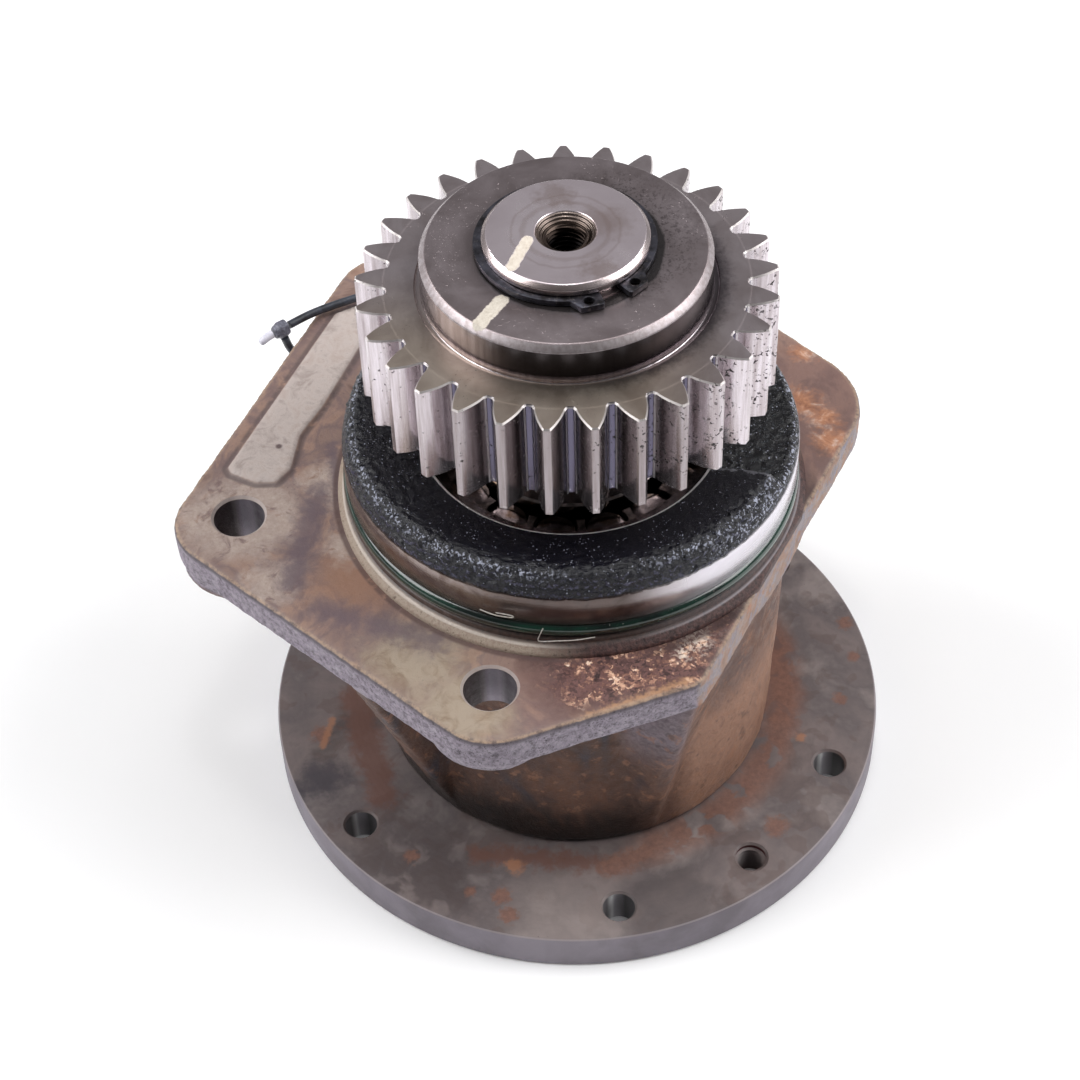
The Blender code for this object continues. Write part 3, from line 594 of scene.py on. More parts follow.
def flange_top(look, patch, fine):
    """Top of the flange: flowing brown stains, pale round the left holes, rust to the right, painted shade
    along the spigot's foot.
    """
    level = PLATE_TOP
    broad = look.noise(19, 5, 0.6, bend=1.3)
    top = look.ramp(broad, (0.3, 106, 82, 74), (0.42, 138, 114, 104), (0.51, 120, 99, 96),
            (0.6, 152, 124, 110), (0.74, 126, 96, 82))
    tan = look.spot(-57, -33, 12, 7, 10)
    top = look.tint(top, (152, 114, 92), tan, 0.75)
    pale = look.spots((-91, -9, 16, 5, 9), (-82, -34, 7, 5, 8), (-66, 2, 8, 4, 8), (-60, -22, 6, 4, 7))
    pale_colour = look.ramp(fine, (0.3, 158, 140, 130), (0.7, 188, 172, 162))
    top = look.tint(top, pale_colour, pale, look.between(patch, 0.34, 0.5), 0.9)
    olive = look.spots((-43, -62, 13, 6, 9), (-30, -80, 12, 5, 8))
    olive_colour = look.ramp(patch, (0.36, 136, 118, 98), (0.56, 162, 148, 130))
    top = look.tint(top, olive_colour, olive, 0.85)
    grey = look.either(look.stroke((-70, -2, level), (-76, -34, level), 3.5, 3, 5),
            look.stroke((-68, -44, level), (-38, -57, level), 3.5, 4, 6),
            look.stroke((-64, -4, level), (-66.5, 16, level), 1.6, 1.4, 2))
    top = look.tint(top, (98, 84, 92), grey, 0.75)
    plain = look.spot(-6, -74, 11, 6, 7)
    top = look.tint(top, (116, 88, 82), plain, 0.8)
    far = look.both(look.spot(74, 24, 30, 10, 8), 0.8)
    top = look.layer(far, top, look.ramp(broad, (0.36, 100, 76, 72), (0.6, 134, 104, 96)))
    orange = look.spots((73, 11, 4, 4, 6), (66, 27, 4.5, 4, 7), (72, 20, 3.5, 3, 5), (69, 47, 3, 3, 5))
    orange_colour = look.ramp(patch, (0.36, 150, 96, 68), (0.52, 196, 138, 102), (0.66, 238, 212, 196))
    top = look.tint(top, orange_colour, orange, 0.85)
    rust = look.either(look.stroke((2, -70, level), (25, -65, level), 10, 4, 8),
            look.stroke((24, -62, level), (47, -39, level), 8, 4, 6), look.spot(-4, -62, 4, 3, 5))
    warm = look.either(look.stroke((0, -72, level), (30, -66, level), 11, 5, 7),
            look.stroke((-12, -64, level), (6, -66, level), 3, 3, 5))
    warm_colour = look.ramp(patch, (0.34, 64, 45, 44), (0.5, 90, 66, 64), (0.66, 76, 54, 52))
    top = look.tint(top, warm_colour, warm, 0.8)
    top = look.layer(rust, top, rust_crystals(look))
    glints = look.spots((29.5, -58.5, 4.5, 3.5, 5), (26.5, -64.5, 1.8, 1.6, 3), (40, -46, 3.5, 2.5, 4),
            (2.5, -60.8, 2.4, 1.2, 2))
    glints = look.both(glints, look.between(look.shards(0.7, 6), 0.35, 0.75))
    ochre = look.stroke((0, -84, level), (28, -73, level), 0.8, 1.2, 2.5)
    top = look.tint(top, (186, 142, 104), ochre, 0.7)
    top = look.tint(top, (244, 226, 210), glints, 0.85)
    # painted shade at the spigot's foot on the flange top, to the right front
    dark_at_foot = look.both(look.band(look.radius, 63.6, 67.4, 0.9), look.between(look.x, 8, 26),
            look.between(look.y, 4, -12))
    top = look.tint(top, (64, 44, 42), dark_at_foot, 0.8)
    # painted shade line just outside the shoulder, on the left
    shoulder_shade_line = look.both(look.band(look.radius, 64.2, 65.9, 0.5), look.between(look.x, 4, -6),
            look.between(patch, 0.3, 0.46))
    top = look.tint(top, (86, 66, 64), shoulder_shade_line, 0.8)
    arris = look.between(look.inset, 1.6, 0.6)
    arris_colour = look.ramp(fine, (0.36, 96, 84, 80), (0.56, 178, 152, 128))
    return look.tint(top, arris_colour, arris, 0.7)


def pad_colours(look, colour, patch):
    """Pale machined pad with a painted shadow round it."""
    # painted shadow along the raised pad's edge
    groove = look.both(look.band(look.pad, -1.6, -0.1, 0.5), look.between(patch, 0.34, 0.48))
    colour = look.tint(colour, (92, 78, 78), groove, 0.75)
    pale = look.ramp(patch, (0.36, 166, 152, 146), (0.5, 190, 178, 172), (0.66, 180, 164, 156))
    pale = look.layer(look.spot(-81.4, 15.9, 0.9, 0.4), pale, (98, 82, 82))
    return look.layer(look.between(look.pad, -0.1, 0.5), colour, pale)


def flange_side(look, fine, speck):
    """Cast edge of the flange: lilac grey, pitted in front, dark just under the arris."""
    tone = look.ramp(fine, (0.32, 84, 76, 84), (0.5, 142, 132, 144), (0.68, 172, 162, 174))
    pits = look.both(look.between(speck, 0.44, 0.36), look.between(look.x, -74, -34))
    tone = look.tint(tone, (52, 45, 48), pits, 0.85)
    strip = look.total(look.z, look.times(fine, 2.4))
    strip = look.between(strip, PLATE_TOP - 1, PLATE_TOP + 0.4)
    return look.tint(tone, (74, 66, 70), strip, 0.75)


def body_side(look, patch, fine):
    """Rough body: painted shade over dark tones in front, brown and paler towards the flat side."""
    flow = look.noise(15, 5, 0.6, stretch=(1, 1, 0.55), seed=9, bend=1)
    side = look.ramp(flow, (0.3, 72, 48, 40), (0.44, 112, 80, 64), (0.56, 98, 76, 70),
            (0.72, 144, 112, 96))
    # painted shade on the body's front under the flange, over dark brown and blue-grey tones
    front = look.both(look.between(look.turn, -146, -128), look.between(look.turn, -66, -84))
    dark = look.ramp(flow, (0.34, 58, 58, 68), (0.46, 74, 54, 48), (0.6, 102, 68, 50),
            (0.72, 80, 60, 54))
    side = look.tint(side, dark, front, 0.85)
    right = look.both(look.between(look.turn, -64, -56), look.between(look.turn, 168, 110),
            look.between(look.z, 70, 50))
    warm = look.ramp(patch, (0.34, 140, 104, 86), (0.54, 166, 126, 104), (0.7, 122, 92, 80))
    side = look.tint(side, warm, right, 0.8)
    buttress_zone = look.both(look.band(look.turn, -79, -67, 3), look.between(look.z, 48, 70))
    lilac = look.ramp(fine, (0.34, 96, 86, 96), (0.6, 140, 128, 136))
    side = look.tint(side, lilac, buttress_zone, 0.85)
    crust = look.between(look.noise(3.6, 4, 0.65, seed=46), 0.56, 0.64)
    side = look.tint(side, (158, 112, 86), crust, 0.45)
    scab = look.between(look.noise(4.2, 4, 0.65, seed=47), 0.57, 0.65)
    side = look.tint(side, (62, 48, 46), scab, 0.5)
    foot = look.total(look.z, look.times(flow, 26))
    foot = look.both(look.between(foot, 50, 34), look.between(look.turn, -58, -80),
            look.between(look.turn, -170, -150))
    return look.tint(side, (16, 13, 13), foot, 0.92)


def flat_side(look, patch, fine):
    """Milled flat: grey-beige with orange and blue-grey flecks, browner lower down."""
    flecks = look.noise(9, 4, 0.55, seed=14, bend=1)
    high = look.ramp(flecks, (0.33, 138, 112, 100), (0.42, 156, 126, 110), (0.49, 150, 132, 126),
            (0.57, 138, 130, 136), (0.68, 158, 140, 134))
    low = look.ramp(flecks, (0.34, 122, 94, 84), (0.5, 154, 124, 110), (0.66, 138, 116, 110))
    level = look.total(look.z, look.times(patch, 30))
    colour = look.layer(look.between(level, 66, 92), low, high)
    orange = look.between(look.noise(3.4, 3, 0.6, seed=44), 0.55, 0.62)
    colour = look.tint(colour, (164, 112, 84), orange, 0.6)
    blue = look.both(look.between(look.noise(3.8, 3, 0.6, seed=45), 0.56, 0.63),
            look.between(look.z, 52, 70))
    colour = look.tint(colour, (136, 134, 148), blue, 0.6)
    pits = look.between(fine, 0.4, 0.3)
    return look.tint(colour, (72, 54, 50), pits, 0.6)


def casting_look():
    """Rusty cast iron: stained flange top, pale pad, pitted edge, brown oily body."""
    look = Look("rusty_casting")
    look.inset = look.attribute("inset")
    look.pad = look.attribute("pad")
    patch = look.noise(6, 6, 0.62, seed=3, bend=1.2)
    fine = look.noise(1.5, 5, 0.7, seed=7)
    speck = look.noise(0.6, 3, 0.7, seed=11)
    on_top = look.both(look.between(look.up, 0.5, 0.8),
            look.between(look.z, PLATE_TOP - 3, PLATE_TOP - 1.5))
    on_edge = look.both(look.between(look.z, PLATE_BOTTOM - 5, PLATE_BOTTOM - 2.5),
            look.between(look.radius, 61.5, 64))
    normal_x, normal_y = polar(1, FLAT_ANGLE)
    reach = look.vector("DOT_PRODUCT", look.point, (normal_x, normal_y, 0))
    on_flat = look.between(reach, 61.4, 62.2)
    colour = look.layer(on_edge, body_side(look, patch, fine), flange_side(look, fine, speck))
    colour = look.layer(on_flat, colour, flat_side(look, patch, fine))
    # painted highlight along the arris between the flat side and the buttress
    arris = look.stroke((30.2, -71, 91), (21.5, -57, 18), 0.35, 0.5, 0.3)
    colour = look.tint(colour, (206, 168, 138), arris, 0.7)
    top = pad_colours(look, flange_top(look, patch, fine), patch)
    colour = look.layer(on_top, colour, top)
    bores = [look.spot(x, y, BOLT_HOLE_RADIUS + 0.35, 0.1) for x, y, _ in BOLT_HOLES]
    bore = look.both(look.either(*bores), look.between(on_top, 0.6, 0.2))
    # painted light and shade on the bolt-hole walls, by which way each wall faces
    bore_colour = look.ramp(look.between(look.sideways, -1, 1), (0.1, 84, 78, 84),
            (0.26, 150, 142, 152), (0.52, 160, 152, 164), (0.7, 112, 102, 104), (0.8, 56, 46, 44))
    colour = look.tint(colour, bore_colour, bore, 0.92)
    rims = [look.spot(x, y, BOLT_HOLE_RADIUS + 1, 0.15) for x, y, _ in BOLT_HOLES]
    rim = look.both(look.either(*rims), look.between(look.up, 0.97, 0.9), on_top)
    colour = look.tint(colour, (206, 194, 190), rim, 0.6)
    colour = look.tint(colour, (190, 170, 154), look.between(speck, 0.66, 0.76), 0.35)
    colour = look.tint(colour, (56, 42, 38), look.between(speck, 0.36, 0.27), 0.5)
    rough = look.mix(look.between(patch, 0.4, 0.65), 0.48, 0.74)
    rough = look.mix(look.both(look.between(look.z, 34, 20)), rough, 0.3)
    relief = look.total(look.times(fine, 0.6), look.times(speck, 0.35))
    relief = look.times(relief, look.mix(on_top, 1, 0.45))
    return look.finish(colour, rough, 0, relief, 0.6)


def spigot_look():
    """Turned spigot: steel-grey band with painted dark reflection in front and a painted white highlight on
    the right, oily black rough rim with painted glints, cream shoulder; painted highlights on the
    shoulder's and lip's edges.
    """
    look = Look("oily_spigot")
    fine = look.noise(1.1, 5, 0.7)
    patch = look.noise(8, 5, 0.6, seed=2, bend=1)
    rings = look.noise(0.5, 2, 0.5, stretch=(0.02, 0.02, 2.4), seed=4)
    machined = look.ramp(patch, (0.32, 104, 88, 82), (0.48, 150, 138, 134), (0.6, 130, 114, 106),
            (0.72, 110, 94, 88))
    # painted dark reflection on the machined band's front
    front = look.both(look.between(look.x, -36, -14), look.between(look.x, 30, 10))
    machined = look.tint(machined, look.ramp(patch, (0.36, 62, 54, 52), (0.6, 96, 86, 84)), front, 0.8)
    # painted white highlight on the band's right-hand side, where it reflects the right lamp
    highlight_right = look.between(look.x, 10, 36)
    machined = look.tint(machined, (228, 224, 232), highlight_right, 0.92)
    groove_zone = look.band(look.z, PLATE_TOP + 2.9, PLATE_TOP + 5.2, 0.3)
    machined = look.tint(machined, look.ramp(fine, (0.36, 38, 28, 27), (0.62, 82, 60, 52)), groove_zone,
            look.mix(highlight_right, 0.8, 0.92))
    wavy = look.total(look.z, look.times(look.noise(3, 3), 1.6))
    oily = look.between(wavy, ROUGH_FROM + 0.4, ROUGH_FROM + 1.2)
    wall = look.between(look.up, 0.45, 0.15)
    black = look.ramp(fine, (0.3, 4, 4, 9), (0.7, 16, 16, 28))
    # painted glints as pale blue-grey specks on the rim's outer wall
    black = look.tint(black, look.ramp(fine, (0.38, 3, 3, 7), (0.5, 26, 26, 40), (0.58, 96, 96, 120),
            (0.66, 22, 22, 34)), wall, 0.85)
    pocket = look.both(look.between(look.turn, -28, -26), look.between(look.turn, 62, 60),
            look.between(look.radius, 41.5, 43), look.between(look.radius, 60.5, 59))
    black = look.tint(black, look.ramp(fine, (0.42, 3, 3, 5), (0.56, 11, 12, 15), (0.63, 62, 66, 70),
            (0.7, 8, 8, 11)), pocket, 0.9)
    # painted highlight along the step where the rim is missing
    step_edge_highlight = look.both(look.band(look.fray(look.turn, 2, 3, 41), -28.6, -27.2, 0.3),
            look.band(look.radius, 42.5, 59, 1), oily)
    black = look.tint(black, (120, 120, 126), step_edge_highlight, 0.6)
    ridge = look.either(look.both(look.band(look.radius, SPIGOT_RADIUS - 3.7, SPIGOT_RADIUS - 2.1, 0.6),
            look.either(look.between(look.x, 2, -16),
            look.both(look.between(look.x, 12, 28), look.between(look.turn, -26, -30)))),
            look.both(look.band(look.radius, SPIGOT_RADIUS - 1.9, SPIGOT_RADIUS - 0.5, 0.5),
            look.between(look.x, 30, 42)))
    glint = look.either(look.both(ridge, look.between(look.noise(0.85, 3, 0.6, seed=16), 0.53, 0.6)),
            look.both(look.between(look.noise(0.6, 2, 0.5, seed=19), 0.66, 0.7),
            look.between(look.noise(5, 2, seed=18), 0.42, 0.52)))
    black = look.tint(black, (186, 190, 208), glint, 0.85)
    colour = look.layer(oily, machined, black)
    shoulder = look.between(look.z, PLATE_TOP + 3.4, PLATE_TOP + 2.4)
    cream = look.ramp(fine, (0.34, 112, 94, 82), (0.46, 176, 160, 144), (0.62, 158, 138, 124))
    hidden = look.both(look.between(look.x, -16, 4), look.between(look.y, 24, 0))
    # painted highlight along the shoulder's upper edge
    bright = look.band(look.z, PLATE_TOP + 2.3, PLATE_TOP + 2.9, 0.15)
    cream = look.tint(cream, (226, 216, 206), bright, 0.6)
    cream = look.layer(hidden, cream, look.ramp(fine, (0.36, 40, 28, 29), (0.6, 92, 64, 60)))
    colour = look.layer(shoulder, colour, cream)
    # painted highlight on the edge of the bore's lip
    lip = look.both(look.band(look.radius, LIP_RADIUS - 0.3, LIP_RADIUS + 0.95, 0.12),
            look.between(look.z, LIP_TOP - 1.8, LIP_TOP - 1.4))
    colour = look.layer(lip, colour, (250, 247, 244))
    rough = look.mix(oily, look.mix(patch, 0.16, 0.3), look.mix(fine, 0.04, 0.24))
    rough = look.mix(look.both(wall, oily), rough, 0.26)
    rough = look.mix(look.either(shoulder, lip), rough, 0.55)
    metal = look.mix(oily, look.mix(highlight_right, 0.9, 0.68), 0)
    metal = look.mix(look.either(shoulder, lip), metal, 0)
    groove_band = look.both(look.band(look.z, PLATE_TOP + 2.9, PLATE_TOP + 5.2, 0.2),
            look.mix(oily, 1, 0))
    metal = look.mix(groove_band, metal, 0)
    rough = look.mix(groove_band, rough, look.mix(highlight_right, 0.4, 0.8))
    rough = look.mix(look.both(glint, oily), rough, 0.5)
    blobs = look.noise(2.2, 2, 0.5, seed=15)
    crust = look.total(look.times(fine, 1.3), look.times(blobs, 2))
    relief = look.total(look.times(rings, 0.1), look.times(crust, look.mix(oily, 0, 1)),
            look.times(fine, look.mix(shoulder, 0, 1)))
    return look.finish(colour, rough, metal, relief, 0.36)


def disc_look():
    """Turned flange steel: grey-brown, brick-red rust patches, oil stain, painted shade at the front left,
    painted light and shade in the holes; the shaft is cleaner.
    """
    look = Look("stained_flange_steel")
    face = DISC_THICKNESS
    broad = look.noise(22, 5, 0.58, bend=0.3)
    patch = look.noise(7.5, 2.5, 0.5, seed=5, bend=0.6)
    fine = look.noise(1.3, 5, 0.7, seed=8)
    colour = look.ramp(broad, (0.3, 84, 75, 74), (0.44, 124, 112, 110), (0.56, 104, 95, 95),
            (0.7, 144, 133, 130))
    colour = look.tint(colour, (92, 74, 68), look.between(patch, 0.54, 0.6), 0.35)
    # painted shadow on the flange's front left
    dark = look.both(look.spot(-48, -66, 20, 12, 12), look.between(patch, 0.36, 0.52))
    colour = look.tint(colour, (76, 66, 66), dark, 0.75)
    shade = look.spot(24, -81, 13, 3, 8)
    colour = look.tint(colour, (84, 76, 76), shade, 0.6)
    light = look.spot(-6, -82, 16, 8, 10)
    colour = look.tint(colour, (146, 134, 130), light, 0.55)
    stain = look.spots((-76, -31, 7, 4, 7), (-84, -36, 5, 3, 5))
    colour = look.tint(colour, (62, 58, 66), stain, 0.8)
    ring = look.band(look.radius, 57, 68, 4)
    brown = look.either(look.stroke((-67, 0, face), (-58, -38, face), 4.5, 2.5, 6),
            look.stroke((-30, -60, face), (2, -64, face), 3, 2.5, 6),
            look.stroke((62, 14, face), (61, -12, face), 4.5, 3.5, 6))
    colour = look.tint(colour, (112, 76, 64), brown, 0.75)
    brick = look.either(look.both(ring, look.between(look.x, 8, 22), look.between(patch, 0.4, 0.48)),
            look.stroke((24, -58, face), (8, -66, face), 3.5, 2, 5), look.spot(-49.4, -59.6, 2.2, 1, 3),
            look.spot(-33, -72.5, 1.6, 0.8, 2), look.spot(-24, -74.5, 2.6, 1, 3),
            look.spot(-22, -81, 2.6, 1, 3), look.spot(84, 22, 2.4, 1, 2.5),
            look.spot(85, 8.5, 1.8, 0.9, 2), look.spot(79, -8, 2, 1, 2.5),
            look.spot(56, -54, 3.2, 1.6, 4), look.spot(-77, -14, 2.8, 1.6, 4))
    brick_colour = look.ramp(fine, (0.34, 114, 80, 68), (0.62, 138, 98, 82))
    colour = look.tint(colour, brick_colour, brick, 0.8)
    orange = look.either(look.stroke((-73.8, -8.5, face), (-76.4, -19, face), 0.9, 0.7, 1.2),
            look.spot(-20, -64.5, 2.4, 1.4, 3), look.spot(66, -22, 1.4, 0.8, 2))
    colour = look.tint(colour, (168, 118, 88), orange, 0.75)
    side = look.between(look.up, 0.6, 0.3)
    rim = look.both(side, look.between(look.radius, DISC_RADIUS - 2, DISC_RADIUS - 1))
    rim_colour = look.ramp(broad, (0.36, 110, 103, 112), (0.6, 136, 129, 140))
    colour = look.tint(colour, rim_colour, rim, 0.85)
    chamfer = look.both(look.band(look.up, 0.35, 0.93, 0.04),
            look.between(look.radius, DISC_RADIUS - 1.6, DISC_RADIUS - 1))
    colour = look.tint(colour, (172, 164, 168), chamfer, 0.5)
    in_hole = look.both(look.band(look.radius, 70, 89, 0.5), side)
    # painted light and shade on the hole walls, by which way each wall faces
    wall_light = look.ramp(look.between(look.sideways, -1, 1), (0.2, 70, 68, 70), (0.42, 150, 146, 152),
            (0.66, 196, 192, 198), (0.78, 255, 255, 255), (0.94, 110, 106, 108))
    colour = look.layer(in_hole, colour, wall_light)
    jacks = [look.spot(*polar(HOLE_CIRCLE, angle), 6.2, 0.4) for angle in JACK_HOLE_ANGLES]
    jack = look.both(look.either(*jacks), in_hole)
    colour = look.layer(jack, colour, (84, 38, 40))
    pits = look.between(fine, 0.34, 0.27)
    colour = look.tint(colour, (52, 44, 42), pits, 0.5)
    shaft = look.between(look.z, 15, 20)
    clean = look.ramp(broad, (0.35, 176, 160, 156), (0.65, 204, 192, 192))
    colour = look.layer(shaft, colour, clean)
    colour = look.layer(look.between(look.z, SHAFT_TOP - 0.3, SHAFT_TOP - 0.1), colour,
            end_face_colour(look, broad, fine))
    in_mouth = look.both(look.between(look.radius, CENTRE_MOUTH_RADIUS + 0.1,
            CENTRE_MOUTH_RADIUS - 0.1), look.between(look.z, SHAFT_TOP - 0.1, SHAFT_TOP - 0.3), shaft)
    # painted shade in the centre hole, darker the deeper it goes
    depth = look.math("SUBTRACT", SHAFT_TOP, look.z)
    inside = look.ramp(look.math("DIVIDE", depth, 10), (0.05, 128, 116, 110), (0.22, 92, 80, 73),
            (0.32, 40, 32, 28), (0.7, 9, 7, 7))
    colour = look.layer(in_mouth, colour, inside)
    paint = look.stroke((-9.6, -2.9, SHAFT_TOP), (-13.7, -12.8, SHAFT_TOP), 1.5, 0.2, 0.6)
    colour = look.tint(colour, look.ramp(fine, (0.3, 196, 184, 166), (0.6, 226, 216, 200)), paint, 0.9)
    rough = look.mix(shaft, look.mix(patch, 0.4, 0.62), look.mix(broad, 0.2, 0.32))
    rough = look.mix(in_hole, rough, 0.34)
    rough = look.mix(paint, rough, 0.6)
    metal = look.mix(shaft, look.mix(in_hole, 0.12, 0), 0.95)
    metal = look.mix(paint, metal, 0)
    turning = look.math("SINE", look.times(look.radius, 3.6))
    cuts = look.math("SINE", look.times(look.z, 9))
    relief = look.total(look.times(fine, look.mix(shaft, 0.5, 0.16)), look.times(turning, 0.03),
            look.times(cuts, look.mix(in_mouth, 0, 0.5)))
    return look.finish(colour, rough, metal, relief, 0.12)


def end_face_colour(look, broad, fine):
    """Shaft's end: lilac-brown steel with faint brown rings round the centre hole."""
    waver = look.times(look.noise(3, 4, 0.6, seed=9), 2.2)
    distance = look.total(look.radius, waver)
    face = look.ramp(broad, (0.34, 226, 212, 216), (0.66, 244, 232, 236))
    ring = look.either(look.band(distance, 11.2, 12.6, 0.5), look.band(distance, 14.6, 15.2, 0.4))
    face = look.tint(face, (160, 130, 114), ring, 0.22)
    smear = look.spots((10, 3, 5, 4, 6), (-2, 14, 4, 3, 6), (8, -15, 4, 3, 6))
    face = look.tint(face, (170, 144, 132), smear, 0.45)
    dots = look.both(look.between(fine, 0.7, 0.76), look.between(look.radius, 14, 19))
    return look.tint(face, (120, 80, 60), dots, 0.6)


def gear_look():
    """Ground gear steel: brown film on the end faces, bright streaked flanks, dark specks; painted shade
    towards the roots, painted dark reflections on the front flanks and hub side, painted highlights and
    glints on edges and burrs.
    """
    look = Look("gear_steel")
    broad = look.noise(13, 4, 0.6, bend=0.8)
    streak = look.noise(1.3, 4, 0.65, stretch=(1, 1, 0.05), seed=4)
    fine = look.noise(0.8, 4, 0.7, seed=6)
    on_top = look.between(look.up, 0.8, 0.95)
    flank = look.ramp(streak, (0.3, 170, 158, 160), (0.48, 202, 192, 196), (0.62, 226, 218, 224),
            (0.78, 192, 180, 182))
    # painted shade on the flanks towards the roots
    towards_root = look.between(look.radius, TIP_RADIUS - 1.5, ROOT_RADIUS + 1)
    # painted dark reflection on the front flanks
    in_front = look.between(look.y, -34, -50)
    flank = look.tint(flank, (104, 94, 92), in_front, 0.62)
    flank = look.tint(flank, (66, 57, 58), towards_root, look.mix(in_front, 0.3, 0.8))
    gap_floor = look.band(look.radius, ROOT_RADIUS - 0.25, ROOT_RADIUS + 0.25, 0.1)
    flank = look.layer(gap_floor, flank, (98, 94, 112))
    # painted highlight along the flanks' edge above the roots
    gap_edge = look.band(look.radius, ROOT_RADIUS + 0.35, ROOT_RADIUS + 0.75, 0.1)
    flank = look.tint(flank, (232, 228, 230), gap_edge, 0.8)
    # painted glints on burrs at the teeth's lower ends
    burr_glints = look.both(look.between(look.noise(0.8, 3, 0.6, seed=33), 0.58, 0.66),
            look.between(look.z, GEAR_BOTTOM + 4, GEAR_BOTTOM + 0.5))
    flank = look.tint(flank, (240, 236, 238), burr_glints, 0.7)
    face = look.ramp(broad, (0.34, 168, 156, 156), (0.66, 188, 178, 180))
    front = look.both(look.between(look.y, 8, -26), look.between(look.x, 44, 14),
            look.between(look.z, HUB_TOP - 3, HUB_TOP - 5))
    face = look.tint(face, look.ramp(broad, (0.36, 174, 158, 142), (0.64, 198, 184, 168)), front, 0.85)
    colour = look.layer(on_top, flank, face)
    hub_side = look.both(look.band(look.radius, HUB_RADIUS - 0.5, HUB_RADIUS + 0.5, 0.2),
            look.band(look.z, GEAR_TOP + 1.2, HUB_TOP - 1.9, 0.3))
    # oily hub side with painted dark reflection, less of it on the lit left
    oil_and_dark_reflection = look.mix(look.between(look.x, -38, -12), 0.35, 0.96)
    colour = look.tint(colour, look.ramp(broad, (0.36, 30, 27, 29), (0.66, 48, 43, 45)), hub_side,
            oil_and_dark_reflection)
    eased = look.both(look.band(look.up, 0.25, 0.93, 0.03), look.between(look.radius, ROOT_RADIUS - 0.5,
            ROOT_RADIUS))
    colour = look.tint(colour, (232, 226, 222), eased, 0.7)
    # painted highlight on the hub's chamfer, stronger in front
    hub_edge = look.both(look.band(look.up, 0.25, 0.93, 0.03),
            look.between(look.z, HUB_TOP - 2.2, HUB_TOP - 1.8))
    colour = look.tint(colour, (186, 174, 168), hub_edge, look.mix(in_front, 0.25, 0.6))
    foot_fillet = look.both(look.band(look.radius, HUB_RADIUS + 0.3, HUB_RADIUS + 3, 0.4),
            look.between(look.up, 0.97, 0.85))
    lit_foot = look.both(foot_fillet, look.between(look.x, 26, -6))
    colour = look.tint(colour, (214, 202, 192), lit_foot, 0.7)
    dense = look.mix(look.between(look.x, -30, 40), 0.655, 0.59)
    specks = look.between(look.math("SUBTRACT", look.noise(0.9, 2.5, 0.55, seed=13), dense), 0, 0.02)
    zone = look.between(look.noise(8, 2, seed=17), 0.44, 0.56)
    specks = look.both(specks, zone, look.between(on_top, 0.5, 0.2), look.between(look.radius, 43, 46))
    scattered_dots = look.both(look.between(look.noise(0.55, 2, 0.6, seed=27), 0.66, 0.7), on_top,
            look.between(look.noise(16, 3, seed=28), 0.44, 0.6))
    colour = look.tint(colour, (52, 44, 42), scattered_dots, 0.8)
    # grime against the hub's foot, thicker to the right and behind
    scatter = look.times(look.noise(1.4, 4, 0.7, seed=21), 5)
    creep = look.math("SUBTRACT", look.radius, scatter)
    dark_at_foot = look.both(look.between(creep, 41.5, 36), look.between(look.z, GEAR_TOP + 2, GEAR_TOP + 0.6),
            on_top)
    heavy = look.mix(look.between(look.x, -16, 26), 0.25, 0.85)
    colour = look.tint(colour, (62, 57, 62), dark_at_foot, heavy)
    colour = look.tint(colour, (34, 27, 24), specks, 0.92)
    # grease ring and paint mark on the hub's top
    hub_face = look.between(look.z, HUB_TOP - 0.35, HUB_TOP - 0.1)
    colour = look.tint(colour, look.ramp(broad, (0.34, 146, 134, 134), (0.66, 172, 160, 162)), hub_face,
            0.9)
    halo = look.both(hub_face, look.spot(0.5, 0, 26.5, 3, 1.5))
    colour = look.tint(colour, (96, 88, 88), halo, 0.4)
    smudge = look.both(hub_face, look.spot(9, 3, 24, 7, 9))
    colour = look.tint(colour, (64, 57, 56), smudge, look.between(fine, 0.48, 0.62), 0.6)
    grease = look.both(hub_face, look.spot(0.9, -0.3, 24.3, 0.5, 1.8))
    colour = look.tint(colour, (27, 24, 24), grease, 0.95)
    paint = look.stroke((-16.6, -19.2, HUB_TOP), (-22, -27.4, HUB_TOP), 1.9, 0.2, 0.7)
    colour = look.tint(colour, look.ramp(fine, (0.3, 188, 178, 162), (0.6, 222, 214, 200)), paint, 0.9)
    rough = look.mix(on_top, look.mix(streak, 0.14, 0.3), look.mix(broad, 0.28, 0.42))
    rough = look.mix(look.either(grease, hub_side), rough, 0.27)
    rough = look.mix(look.either(eased, gap_edge, hub_edge), rough, 0.45)
    rough = look.mix(look.either(paint, specks, scattered_dots), rough, 0.6)
    metal = look.mix(look.either(specks, paint, look.both(scattered_dots, 0.8)), 0.97, 0)
    metal = look.mix(look.both(grease, 0.85), metal, 0.1)
    relief = look.total(look.times(streak, 0.35), look.times(fine, 0.3), look.times(specks, 1.2),
            look.times(scattered_dots, 1))
    return look.finish(colour, rough, metal, relief, 0.05)


def plain_look(name, stops, rough, metal, depth, grains, coat=None):
    """Small piece: one colour ramp over noise, with fine relief; grains are (size, detail, rough, seed)."""
    look = Look(name)
    fine, tone = [look.noise(size, detail, rough_grain, seed=seed)
                  for size, detail, rough_grain, seed in (grains[0], grains[-1])]
    colour = look.ramp(tone, *stops)
    return look.finish(colour, look.mix(fine, *rough), metal, fine, depth, coat)


